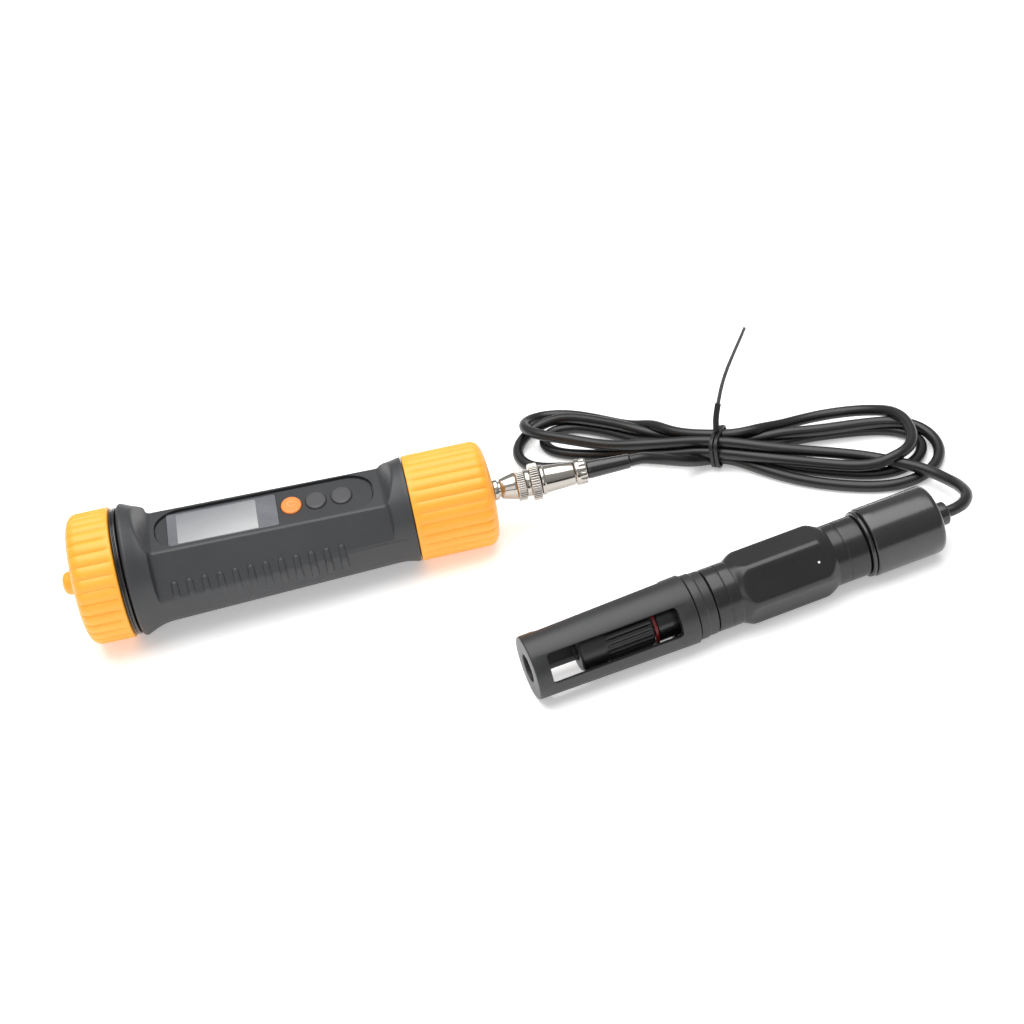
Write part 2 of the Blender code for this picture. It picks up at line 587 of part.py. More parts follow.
def rounded_rectangle(half_x, half_y, radius):
    return rounded_outline(-half_x, half_x, half_y, radius, 4)


meter_frame, electrode_frame, face_frame = place_frames()
make_housing(meter_frame, face_frame)
make_face(face_frame)
make_meter_insides(meter_frame, face_frame)
make_battery_cap(meter_frame)
make_sensor_collar(meter_frame)
make_connector(meter_frame)
make_guard(electrode_frame)
make_cell(electrode_frame)
make_grip(electrode_frame)
make_lead(meter_frame)
make_tie()
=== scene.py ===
import json
import math

import bmesh
import bpy
import numpy as np
from mathutils import Matrix, Vector


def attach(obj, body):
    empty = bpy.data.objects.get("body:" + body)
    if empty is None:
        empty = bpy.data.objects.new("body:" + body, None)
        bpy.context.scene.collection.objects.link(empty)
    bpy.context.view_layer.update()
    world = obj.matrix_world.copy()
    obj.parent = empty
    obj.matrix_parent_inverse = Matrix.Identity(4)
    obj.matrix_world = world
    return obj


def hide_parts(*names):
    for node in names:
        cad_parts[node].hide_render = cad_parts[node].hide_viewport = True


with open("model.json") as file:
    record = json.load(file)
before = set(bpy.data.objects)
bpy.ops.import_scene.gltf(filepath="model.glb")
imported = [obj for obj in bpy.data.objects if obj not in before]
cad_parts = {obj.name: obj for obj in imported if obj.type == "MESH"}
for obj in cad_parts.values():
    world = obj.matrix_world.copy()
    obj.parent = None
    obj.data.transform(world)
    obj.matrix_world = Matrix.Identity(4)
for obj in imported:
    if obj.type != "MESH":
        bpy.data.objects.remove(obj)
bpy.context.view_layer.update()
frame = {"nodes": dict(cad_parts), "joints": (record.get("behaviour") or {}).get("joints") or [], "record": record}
record = frame["record"]
joints = {joint["name"]: joint for joint in frame["joints"]}
mm = 0.001


# the three places that pieces are built in: local X runs along the axis, Z points up, sizes are in millimetres
def placeFrom(xAxis, yAxis, zAxis, origin):
    turn = Matrix((xAxis, yAxis, zAxis)).transposed() * mm
    place = turn.to_4x4()
    place.translation = origin
    return place


meterLine = Vector(joints["sensor_collar_turn"]["axis"]).normalized()
meterStart = Vector(joints["battery_cap_turn"]["pos_m"])
away = Vector((0, 0, 1)).cross(meterLine).normalized()
meterUp = meterLine.cross(away)
faceTilt = math.radians(1.1)
faceUp = math.cos(faceTilt) * meterUp + math.sin(faceTilt) * meterLine
faceAlong = math.cos(faceTilt) * meterLine - math.sin(faceTilt) * meterUp
faceMiddle = 58.0
faceHeight = 13.8
meterPlace = placeFrom(meterLine, away, meterUp, meterStart)
facePlace = placeFrom(faceAlong, away, faceUp, meterStart + (meterLine * faceMiddle + meterUp * faceHeight) * mm)
nutAxis = Vector(joints["guard_nut_turn"]["pos_m"])
electrodeStart = nutAxis - Vector((65.7 * mm, 0, 0))
electrodePlace = placeFrom((1, 0, 0), (0, 1, 0), (0, 0, 1), electrodeStart)
worldPlace = placeFrom((1, 0, 0), (0, 1, 0), (0, 0, 1), (0, 0, 0))


# ---- making meshes
def dressMesh(mesh, crease=34):
    work = bmesh.new()
    work.from_mesh(mesh)
    bmesh.ops.remove_doubles(work, verts=work.verts, dist=1e-4)
    bmesh.ops.recalc_face_normals(work, faces=work.faces)
    limit = math.radians(crease)
    for face in work.faces:
        face.smooth = True
    for edge in work.edges:
        edge.smooth = len(edge.link_faces) != 2 or edge.calc_face_angle(0) < limit
    work.to_mesh(mesh)
    work.free()


def newPiece(name, points, faces, crease=34):
    mesh = bpy.data.meshes.new(name)
    mesh.from_pydata([tuple(point) for point in points], [], faces)
    dressMesh(mesh, crease)
    piece = bpy.data.objects.new(name, mesh)
    bpy.context.scene.collection.objects.link(piece)
    return piece


def bakePiece(piece, crease=34):
    evaluated = piece.evaluated_get(bpy.context.evaluated_depsgraph_get())
    mesh = bpy.data.meshes.new_from_object(evaluated)
    piece.modifiers.clear()
    piece.data = mesh
    dressMesh(mesh, crease)
    return piece


def settle(piece, place, material, body, slot, *nodes):
    piece.data.transform(place)
    piece.data.materials.clear()
    piece.data.materials.append(material)
    for polygon in piece.data.polygons:
        polygon.material_index = 0
    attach(piece, body)
    if nodes:
        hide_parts(*nodes)
    return piece


def softCorners(points, radius, steps=3):
    result = [points[0]]
    for before, corner, after in zip(points, points[1:], points[2:]):
        a, b, c = (np.array(point, float) for point in (before, corner, after))
        back, on = a - b, c - b
        backLength, onLength = np.linalg.norm(back), np.linalg.norm(on)
        cut = min(radius, 0.45 * backLength, 0.45 * onLength)
        first, last = b + back / backLength * cut, b + on / onLength * cut
        for step in range(steps + 1):
            t = step / steps
            result.append(tuple((1 - t) ** 2 * first + 2 * t * (1 - t) * b + t * t * last))
    result.append(points[-1])
    return result


def gridFaces(rows, columns, wrapRows=False):
    faces = []
    for row in range(rows if wrapRows else rows - 1):
        low, high = row * columns, (row + 1) % rows * columns
        for column in range(columns):
            after = (column + 1) % columns
            faces.append((low + column, low + after, high + after, high + column))
    return faces


def turned(name, outline, segments=96, corner=0.35, ring=False, dense=0.0):
    if ring:
        outline = list(outline) + [outline[0], outline[1]]
    outline = softCorners(outline, corner)
    if ring:
        outline = outline[1:-1]
    if dense:
        filled = [outline[0]]
        for before, after in zip(outline, outline[1:]):
            count = max(1, int(math.dist(before, after) / dense))
            for step in range(1, count + 1):
                t = step / count
                filled.append(tuple(np.array(before) * (1 - t) + np.array(after) * t))
        outline = filled
    if ring and math.dist(outline[0], outline[-1]) < 1e-3:
        outline = outline[:-1]
    angles = [2 * math.pi * index / segments for index in range(segments)]
    points = [(x, r * math.cos(angle), r * math.sin(angle)) for x, r in outline for angle in angles]
    faces = gridFaces(len(outline), segments, ring)
    if not ring:
        if outline[0][1] > 1e-4:
            faces.append(tuple(range(segments)))
        if outline[-1][1] > 1e-4:
            base = (len(outline) - 1) * segments
            faces.append(tuple(base + index for index in range(segments)))
    return newPiece(name, points, faces)


def plate(name, outline, levels):
    centre = np.mean(np.array(outline), axis=0)
    points, columns = [], len(outline)
    for z, inset in levels:
        for point in outline:
            arm = np.array(point) - centre
            size = max(0.0, 1 - inset / max(1e-6, np.linalg.norm(arm)))
            points.append((*(centre + arm * size), z))
    faces = gridFaces(len(levels), columns)
    base = (len(levels) - 1) * columns
    faces.append(tuple(range(columns)))
    faces.append(tuple(base + index for index in range(columns)))
    return newPiece(name, points, faces)


def ellipseOutline(centre, halfX, halfY, count=72):
    turns = [2 * math.pi * index / count for index in range(count)]
    return [(centre + halfX * math.cos(turn), halfY * math.sin(turn)) for turn in turns]


def roundedOutline(lowX, highX, lowY, highY, radius, steps=12):
    corners = ((highX - radius, highY - radius, 0), (lowX + radius, highY - radius, 90),
               (lowX + radius, lowY + radius, 180), (highX - radius, lowY + radius, 270))
    points = []
    for x, y, start in corners:
        for step in range(steps + 1):
            turn = math.radians(start + 90 * step / steps)
            points.append((x + radius * math.cos(turn), y + radius * math.sin(turn)))
    return points


def carve(piece, cutters):
    for cutter in cutters:
        change = piece.modifiers.new("carve", "BOOLEAN")
        change.operation = "DIFFERENCE"
        change.solver = "EXACT"
        change.object = cutter
    bpy.context.view_layer.update()
    bakePiece(piece)
    for cutter in cutters:
        bpy.data.objects.remove(cutter)
    return piece


def sweep(name, path, section, side, sizes=None):
    path = [np.array(point, float) for point in path]
    sizes = sizes or [1.0] * len(path)
    points = []
    for index, point in enumerate(path):
        run = path[min(index + 1, len(path) - 1)] - path[max(index - 1, 0)]
        run /= np.linalg.norm(run)
        across = np.array(side, float) - run * np.dot(side, run)
        across /= np.linalg.norm(across)
        over = np.cross(run, across)
        for a, b in section:
            points.append(point + (across * a + over * b) * sizes[index])
    columns = len(section)
    faces = gridFaces(len(path), columns)
    base = (len(path) - 1) * columns
    faces.append(tuple(range(columns)))
    faces.append(tuple(base + index for index in range(columns)))
    return newPiece(name, points, faces, 50)


def smoothLine(points, spacing):
    knots = np.array([2 * np.array(points[0]) - np.array(points[1]), *points,
                      2 * np.array(points[-1]) - np.array(points[-2])], float)
    line = []
    for index in range(1, len(knots) - 2):
        four = knots[index - 1:index + 3]
        gaps = np.sqrt(np.linalg.norm(np.diff(four, axis=0), axis=1))
        t = np.concatenate([[0], np.cumsum(gaps)])
        for now in np.linspace(t[1], t[2], 14, endpoint=False):
            level = [four[k] for k in range(4)]
            for reach in (1, 2):
                level = [((t[k + reach] - now) * level[k] + (now - t[k]) * level[k + 1]) / (t[k + reach] - t[k])
                         for k in range(len(level) - 1)]
            first, second = level
            line.append(((t[2] - now) * first + (now - t[1]) * second) / (t[2] - t[1]))
    line.append(knots[-2])
    return evenLine(np.array(line), spacing)


def evenLine(line, spacing):
    run = np.concatenate([[0], np.cumsum(np.linalg.norm(np.diff(line, axis=0), axis=1))])
    stops = np.linspace(0, run[-1], int(round(run[-1] / spacing)) + 1)
    return np.stack([np.interp(stops, run, line[:, axis]) for axis in range(3)], axis=1)


# ---- geometry nodes
def nodeLink(tree, fromSocket, toSocket):
    tree.links.new(fromSocket, toSocket)


def mathNode(tree, operation, first, second=None):
    node = tree.nodes.new("ShaderNodeMath")
    node.operation = operation
    for socket, value in zip(node.inputs, (first, second)):
        if value is None:
            continue
        if isinstance(value, (int, float)):
            socket.default_value = value
        else:
            tree.links.new(value, socket)
    return node.outputs[0]


def makeFluteTree():
    tree = bpy.data.node_groups.new("flutes", "GeometryNodeTree")
    face = tree.interface
    face.new_socket("Geometry", in_out="INPUT", socket_type="NodeSocketGeometry")
    for label, kind in (("Count", "NodeSocketInt"), ("Depth", "NodeSocketFloat"), ("Start", "NodeSocketFloat"),
                        ("End", "NodeSocketFloat"), ("Fade", "NodeSocketFloat"), ("Roundness", "NodeSocketFloat"),
                        ("Least Radius", "NodeSocketFloat"), ("Material", "NodeSocketMaterial")):
        face.new_socket(label, in_out="INPUT", socket_type=kind)
    face.new_socket("Geometry", in_out="OUTPUT", socket_type="NodeSocketGeometry")
    source = tree.nodes.new("NodeGroupInput")
    result = tree.nodes.new("NodeGroupOutput")
    place = tree.nodes.new("GeometryNodeInputPosition")
    parts = tree.nodes.new("ShaderNodeSeparateXYZ")
    nodeLink(tree, place.outputs[0], parts.inputs[0])
    x, y, z = parts.outputs
    given = source.outputs

    def do(*values):
        return mathNode(tree, *values)

    turn = do("ARCTAN2", z, y)
    half = do("MULTIPLY", given["Count"], 0.5)
    wave = do("ABSOLUTE", do("SINE", do("MULTIPLY", turn, half)))
    valley = do("SUBTRACT", 1.0, do("POWER", wave, given["Roundness"]))
    radius = do("SQRT", do("ADD", do("MULTIPLY", y, y), do("MULTIPLY", z, z)))
    rise = do("DIVIDE", do("SUBTRACT", x, given["Start"]), given["Fade"])
    fall = do("DIVIDE", do("SUBTRACT", given["End"], x), given["Fade"])
    zone = do("MINIMUM", rise, fall)
    outside = do("GREATER_THAN", radius, given["Least Radius"])
    clamp = tree.nodes.new("ShaderNodeClamp")
    nodeLink(tree, zone, clamp.inputs[0])
    amount = do("MULTIPLY", do("MULTIPLY", valley, given["Depth"]), do("MULTIPLY", clamp.outputs[0], outside))
    size = do("DIVIDE", do("SUBTRACT", radius, amount), do("MAXIMUM", radius, 0.001))
    joined = tree.nodes.new("ShaderNodeCombineXYZ")
    nodeLink(tree, x, joined.inputs[0])
    nodeLink(tree, do("MULTIPLY", y, size), joined.inputs[1])
    nodeLink(tree, do("MULTIPLY", z, size), joined.inputs[2])
    move = tree.nodes.new("GeometryNodeSetPosition")
    nodeLink(tree, source.outputs["Geometry"], move.inputs["Geometry"])
    nodeLink(tree, joined.outputs[0], move.inputs["Position"])
    endTree(tree, move.outputs[0], source.outputs["Material"], result)
    return tree


def endTree(tree, geometry, material, result):
    real = tree.nodes.new("GeometryNodeRealizeInstances")
    paint = tree.nodes.new("GeometryNodeSetMaterial")
    nodeLink(tree, geometry, real.inputs[0])
    nodeLink(tree, real.outputs[0], paint.inputs["Geometry"])
    nodeLink(tree, material, paint.inputs["Material"])
    nodeLink(tree, paint.outputs[0], result.inputs[0])


def makeRowTree():
    tree = bpy.data.node_groups.new("row", "GeometryNodeTree")
    face = tree.interface
    face.new_socket("Geometry", in_out="INPUT", socket_type="NodeSocketGeometry")
    for label, kind in (("Count", "NodeSocketInt"), ("Step", "NodeSocketVector"), ("Turn", "NodeSocketFloat"),
                        ("Material", "NodeSocketMaterial")):
        face.new_socket(label, in_out="INPUT", socket_type=kind)
    face.new_socket("Geometry", in_out="OUTPUT", socket_type="NodeSocketGeometry")
    source = tree.nodes.new("NodeGroupInput")
    result = tree.nodes.new("NodeGroupOutput")
    line = tree.nodes.new("GeometryNodeMeshLine")
    nodeLink(tree, source.outputs["Count"], line.inputs["Count"])
    nodeLink(tree, source.outputs["Step"], line.inputs["Offset"])
    index = tree.nodes.new("GeometryNodeInputIndex")
    spin = tree.nodes.new("ShaderNodeCombineXYZ")
    nodeLink(tree, mathNode(tree, "MULTIPLY", index.outputs[0], source.outputs["Turn"]), spin.inputs[0])
    copies = tree.nodes.new("GeometryNodeInstanceOnPoints")
    nodeLink(tree, line.outputs[0], copies.inputs["Points"])
    nodeLink(tree, source.outputs["Geometry"], copies.inputs["Instance"])
    nodeLink(tree, spin.outputs[0], copies.inputs["Rotation"])
    endTree(tree, copies.outputs[0], source.outputs["Material"], result)
    return tree


fluteTree = makeFluteTree()
rowTree = makeRowTree()


def growNodes(piece, tree, **values):
    change = piece.modifiers.new(tree.name, "NODES")
    change.node_group = tree
    for item in tree.interface.items_tree:
        if item.in_out == "INPUT" and item.name in values:
            change[item.identifier] = values[item.name]
    bpy.context.view_layer.update()
    return bakePiece(piece)


def flute(piece, material, count, depth, start, end, fade=1.0, roundness=0.8, leastRadius=0.0):
    return growNodes(piece, fluteTree, **{"Count": count, "Depth": depth, "Start": start, "End": end, "Fade": fade,
                                          "Roundness": roundness, "Least Radius": leastRadius, "Material": material})


# ---- materials
def shaderGroup(name, inputs, outputs):
    tree = bpy.data.node_groups.new(name, "ShaderNodeTree")
    for label, kind, value in inputs:
        socket = tree.interface.new_socket(label, in_out="INPUT", socket_type="NodeSocket" + kind)
        socket.default_value = value
    for label, kind in outputs:
        tree.interface.new_socket(label, in_out="OUTPUT", socket_type="NodeSocket" + kind)
    return tree, tree.nodes.new("NodeGroupInput"), tree.nodes.new("NodeGroupOutput")


def noiseNode(tree, vector, scale, detail=3.0, roughness=0.55):
    node = tree.nodes.new("ShaderNodeTexNoise")
    tree.links.new(vector, node.inputs["Vector"])
    node.inputs["Detail"].default_value = detail
    node.inputs["Roughness"].default_value = roughness
    if isinstance(scale, (int, float)):
        node.inputs["Scale"].default_value = scale
    else:
        tree.links.new(scale, node.inputs["Scale"])
    return node.outputs[0]


def rangeNode(tree, value, lowIn, highIn, lowOut, highOut):
    node = tree.nodes.new("ShaderNodeMapRange")
    tree.links.new(value, node.inputs[0])
    for socket, given in zip(node.inputs[1:5], (lowIn, highIn, lowOut, highOut)):
        if isinstance(given, (int, float)):
            socket.default_value = given
        else:
            tree.links.new(given, socket)
    return node.outputs[0]


def mixColour(tree, factor, first, second):
    node = tree.nodes.new("ShaderNodeMix")
    node.data_type = "RGBA"
    for socket, value in zip((node.inputs[0], node.inputs[6], node.inputs[7]), (factor, first, second)):
        if isinstance(value, (int, float)):
            socket.default_value = value
        elif isinstance(value, tuple):
            socket.default_value = value
        else:
            tree.links.new(value, socket)
    return node.outputs[2]


def makeMouldedGroup():
    tree, source, result = shaderGroup(
        "moulded", [("Vector", "Vector", (0, 0, 0)), ("Colour", "Color", (0.5, 0.5, 0.5, 1)),
                    ("Pale", "Color", (0.6, 0.6, 0.6, 1)), ("Grain Size", "Float", 3000.0),
                    ("Roughness", "Float", 0.5), ("Spread", "Float", 0.08)],
        [("Colour", "Color"), ("Roughness", "Float"), ("Height", "Float")])
    vector = source.outputs["Vector"]
    clouds = noiseNode(tree, vector, 38.0)
    grain = noiseNode(tree, vector, source.outputs["Grain Size"], 2.0, 0.6)
    flow = rangeNode(tree, clouds, 0.35, 0.7, 0.0, 0.55)
    fine = rangeNode(tree, grain, 0.3, 0.7, -0.12, 0.2)
    mask = mathNode(tree, "MAXIMUM", mathNode(tree, "ADD", flow, fine), 0.0)
    colour = mixColour(tree, mask, source.outputs["Colour"], source.outputs["Pale"])
    sway = mathNode(tree, "MULTIPLY", mathNode(tree, "SUBTRACT", clouds, 0.5), source.outputs["Spread"])
    rough = mathNode(tree, "ADD", source.outputs["Roughness"], mathNode(tree, "MULTIPLY", sway, 2.0))
    nodeLink(tree, colour, result.inputs["Colour"])
    nodeLink(tree, rough, result.inputs["Roughness"])
    nodeLink(tree, grain, result.inputs["Height"])
    return tree


def makeScuffGroup():
    tree, source, result = shaderGroup(
        "scuffs", [("Vector", "Vector", (0, 0, 0)), ("Amount", "Float", 0.3)], [("Mask", "Float")])
    stretch = tree.nodes.new("ShaderNodeMapping")
    stretch.inputs["Scale"].default_value = (180.0, 900.0, 900.0)
    nodeLink(tree, source.outputs["Vector"], stretch.inputs[0])
    streaks = noiseNode(tree, stretch.outputs[0], 1.0, 4.0, 0.7)
    patches = noiseNode(tree, source.outputs["Vector"], 90.0, 2.0)
    marks = mathNode(tree, "MULTIPLY", rangeNode(tree, streaks, 0.6, 0.75, 0.0, 1.0),
                     rangeNode(tree, patches, 0.5, 0.7, 0.0, 1.0))
    nodeLink(tree, mathNode(tree, "MULTIPLY", marks, source.outputs["Amount"]), result.inputs["Mask"])
    return tree


mouldedGroup = makeMouldedGroup()
scuffGroup = makeScuffGroup()


def groupNode(tree, group, **values):
    node = tree.nodes.new("ShaderNodeGroup")
    node.node_tree = group
    for label, value in values.items():
        socket = node.inputs[label.replace("_", " ")]
        if isinstance(value, bpy.types.NodeSocket):
            tree.links.new(value, socket)
        else:
            socket.default_value = value
    return node


def startMaterial(name):
    material = bpy.data.materials.new(name)
    material.use_nodes = True
    tree = material.node_tree
    shader = next(node for node in tree.nodes if node.type == "BSDF_PRINCIPLED")
    place = tree.nodes.new("ShaderNodeTexCoord").outputs["Object"]
    return material, tree, shader, place


def moulded(name, colour, pale, roughness, grainSize=2600.0, bump=0.12, spread=0.06, scuffs=0.15, coat=0.0,
            coatRoughness=0.2, specular=0.5, metallic=0.0):
    material, tree, shader, place = startMaterial(name)
    body = groupNode(tree, mouldedGroup, Vector=place, Colour=(*colour, 1), Pale=(*pale, 1), Grain_Size=grainSize,
                     Roughness=roughness, Spread=spread)
    marks = groupNode(tree, scuffGroup, Vector=place, Amount=scuffs)
    worn = tuple(min(1.0, 1.5 * part + 0.02) for part in pale) + (1,)
    tint = mixColour(tree, marks.outputs[0], body.outputs[0], worn)
    nodeLink(tree, tint, shader.inputs["Base Color"])
    nodeLink(tree, mathNode(tree, "ADD", body.outputs[1], mathNode(tree, "MULTIPLY", marks.outputs[0], 0.3)),
             shader.inputs["Roughness"])
    dent = tree.nodes.new("ShaderNodeBump")
    dent.inputs["Strength"].default_value = bump
    dent.inputs["Distance"].default_value = 0.0002
    nodeLink(tree, body.outputs[2], dent.inputs["Height"])
    nodeLink(tree, dent.outputs[0], shader.inputs["Normal"])
    shader.inputs["Metallic"].default_value = metallic
    shader.inputs["Specular IOR Level"].default_value = specular
    shader.inputs["Coat Weight"].default_value = coat
    shader.inputs["Coat Roughness"].default_value = coatRoughness
    return material


materials = {
    "housing": moulded("housingGrey", (0.027, 0.028, 0.03), (0.04, 0.041, 0.044), 0.44, 2600, 0.2),
    "yellowCap": moulded("capYellow", (0.98, 0.39, 0.03), (1.0, 0.46, 0.05), 0.4, 1800, 0.06, scuffs=0.04),
    "guard": moulded("guardBlack", (0.0165, 0.0168, 0.0175), (0.024, 0.0245, 0.026),
                     0.4, 3000, 0.14, scuffs=0.08),
    "grip": moulded("gripBlack", (0.008, 0.008, 0.009), (0.014, 0.014, 0.0155), 0.24, 1500, 0.05, scuffs=0.08),
    "insideBlack": moulded("insideBlack", (0.009, 0.009, 0.01), (0.014, 0.014, 0.015),
                           0.35, 2000, 0.06, scuffs=0.05),
    "rearGloss": moulded("rearGloss", (0.007, 0.007, 0.0075), (0.012, 0.012, 0.013),
                         0.2, 900, 0.03, scuffs=0.05, coat=0.5),
    "sealBlack": moulded("sealBlack", (0.004, 0.004, 0.0045), (0.008, 0.008, 0.009),
                         0.25, 1200, 0.04, scuffs=0.03, coat=0.4),
    "redSeal": moulded("redSeal", (0.11, 0.004, 0.003), (0.16, 0.008, 0.006), 0.35, 1200, 0.05, scuffs=0.02),
    "film": moulded("panelFilm", (0.025, 0.026, 0.028), (0.032, 0.033, 0.035), 0.4, 4000, 0.08, scuffs=0.03),
    "mask": moulded("windowMask", (0.05, 0.052, 0.062), (0.062, 0.064, 0.074), 0.34, 4000, 0.03, scuffs=0.0),
    "orangeKey": moulded("orangeKey", (0.86, 0.25, 0.05), (0.9, 0.3, 0.08), 0.5, 2400, 0.1, scuffs=0.0),
    "greyKey": moulded("greyKey", (0.055, 0.055, 0.058), (0.07, 0.07, 0.073), 0.5, 2400, 0.1, scuffs=0.0),
    "mark": moulded("keyMark", (0.95, 0.62, 0.36), (0.98, 0.7, 0.45), 0.5, 2400, 0.05, scuffs=0.0),
    "nickel": moulded("nickelPlate", (0.42, 0.395, 0.36), (0.52, 0.49, 0.45),
                      0.12, 700, 0.02, 0.05, 0.1, metallic=1.0),
    "steel": moulded("cellSteel", (0.5, 0.5, 0.5), (0.6, 0.6, 0.6), 0.3, 700, 0.03, metallic=1.0),
    "gold": moulded("contactGold", (0.8, 0.52, 0.16), (0.9, 0.66, 0.3), 0.25, 700, 0.02, metallic=1.0),
    "whitePlastic": moulded("whitePlastic", (0.78, 0.78, 0.76), (0.86, 0.86, 0.84), 0.45, 2000, 0.05),
    "board": moulded("boardGreen", (0.015, 0.13, 0.05), (0.03, 0.2, 0.08), 0.35, 900, 0.05),
    "jacket": moulded("cableJacket", (0.0045, 0.0045, 0.005), (0.008, 0.008, 0.009),
                      0.34, 1400, 0.08, scuffs=0.04),
    "strap": moulded("tieBlack", (0.005, 0.005, 0.0055), (0.009, 0.009, 0.01), 0.45, 1600, 0.06, scuffs=0.03),
    # painted sheen: a lighter grey copy of the tie's black plastic, used on the upper part of the tail
    "strapPaintedSheen": moulded("tiePaintedSheen", (0.05, 0.05, 0.052), (0.09, 0.09, 0.095), 0.5, 1600, 0.08, scuffs=0.03),
}


def makeScreenMaterial(start, end, halfWidth):
    material, tree, shader, place = startMaterial("screenGreyPaintedShade")
    centre = facePlace @ Vector(((start + end) / 2 - faceMiddle, 0, 0))
    spots = []
    for axis, size in ((faceAlong, (end - start) / 2 * mm), (away, halfWidth * mm)):
        dot = tree.nodes.new("ShaderNodeVectorMath")
        dot.operation = "DOT_PRODUCT"
        tree.links.new(place, dot.inputs[0])
        dot.inputs[1].default_value = tuple(axis / size)
        spots.append(mathNode(tree, "SUBTRACT", dot.outputs["Value"], centre.dot(axis) / size))
    # painted light and shade: the screen's grey runs dark towards its far side and battery end and light towards its
    # near side and sensor end; the cloud noise adds random mottling on top
    slope = mathNode(tree, "SUBTRACT", mathNode(tree, "MULTIPLY", spots[0], 0.45), spots[1])
    cloud = noiseNode(tree, place, 60.0, 2.0)
    mask = rangeNode(tree, mathNode(tree, "ADD", slope, mathNode(tree, "MULTIPLY", cloud, 0.3)), -1.2, 1.5, 0.0, 1.0)
    tint = mixColour(tree, mask, (0.17, 0.17, 0.175, 1), (0.45, 0.45, 0.44, 1))
    nodeLink(tree, tint, shader.inputs["Base Color"])
    grain = noiseNode(tree, place, 3500.0, 2.0)
    nodeLink(tree, rangeNode(tree, grain, 0.3, 0.7, 0.26, 0.34), shader.inputs["Roughness"])
    return material


def makeWindowMaterial():
    material, tree, shader, place = startMaterial("windowClear")
    smear = noiseNode(tree, place, 120.0, 3.0)
    tint = mixColour(tree, smear, (0.5, 0.52, 0.56, 1), (0.6, 0.62, 0.66, 1))
    nodeLink(tree, tint, shader.inputs["Base Color"])
    nodeLink(tree, rangeNode(tree, smear, 0.3, 0.7, 0.1, 0.17), shader.inputs["Roughness"])
    nodeLink(tree, rangeNode(tree, smear, 0.3, 0.7, 0.08, 0.12), shader.inputs["Alpha"])
    return material


print("stage: materials")

# ---- camera
cameraSettings = {"target": (20.61, 42.68, 0.0), "elevation": 34.5, "heading": 12.36, "distance": 916.4,
                  "roll": -12.72, "lens": 80.86}


def makeCamera(s):
    tilt, turn = math.radians(s["elevation"]), math.radians(s["heading"])
    forward = Vector((math.cos(tilt) * math.sin(turn), math.cos(tilt) * math.cos(turn), -math.sin(tilt)))
    right = Vector((math.cos(turn), -math.sin(turn), 0))
    upward = right.cross(forward)
    data = bpy.data.cameras.new("camera")
    data.lens = s["lens"]
    data.sensor_width = 36
    data.clip_start = 0.01
    camera = bpy.data.objects.new("camera", data)
    bpy.context.scene.collection.objects.link(camera)
    basis = Matrix((right, upward, -forward)).transposed() @ Matrix.Rotation(math.radians(s["roll"]), 3, "Z")
    matrix = basis.to_4x4()
    matrix.translation = (Vector(s["target"]) - forward * s["distance"]) * mm
    camera.matrix_world = matrix
    bpy.context.scene.camera = camera


makeCamera(cameraSettings)

# ---- the cable: in from the plug, seven passes through the tie, out to the electrode
cable = {"diameter": 4.5, "waist": (105.0, 26.5), "along": (0.79, -0.613), "layers": (3.9, 7.5, 11.1),
         "spread": (2.3, 4.6), "spacing": 2.5, "rounds": 420, "floor": 2.3, "leastBend": 15.0,
         "origin": (-0.9, 2.2), "follow": 0.07, "tension": 0.25, "unbend": 0.3, "push": 0.36, "tieHold": 0.6,
         "tieReach": 5.5, "endPoints": 13, "smoothing": 10, "step": 2.2}


def tieSlot(offset, layer, forward=True):
    middle, along = np.array(cable["waist"]), np.array(cable["along"])
    across = np.array((-along[1], along[0]))
    steps = (-5, 0, 5) if forward else (5, 0, -5)
    return [(*(middle + across * offset + along * step), cable["layers"][layer]) for step in steps]


def placed(*points):
    x, y = cable["origin"]
    return [(point[0] + x, point[1] + y, point[2]) for point in points]


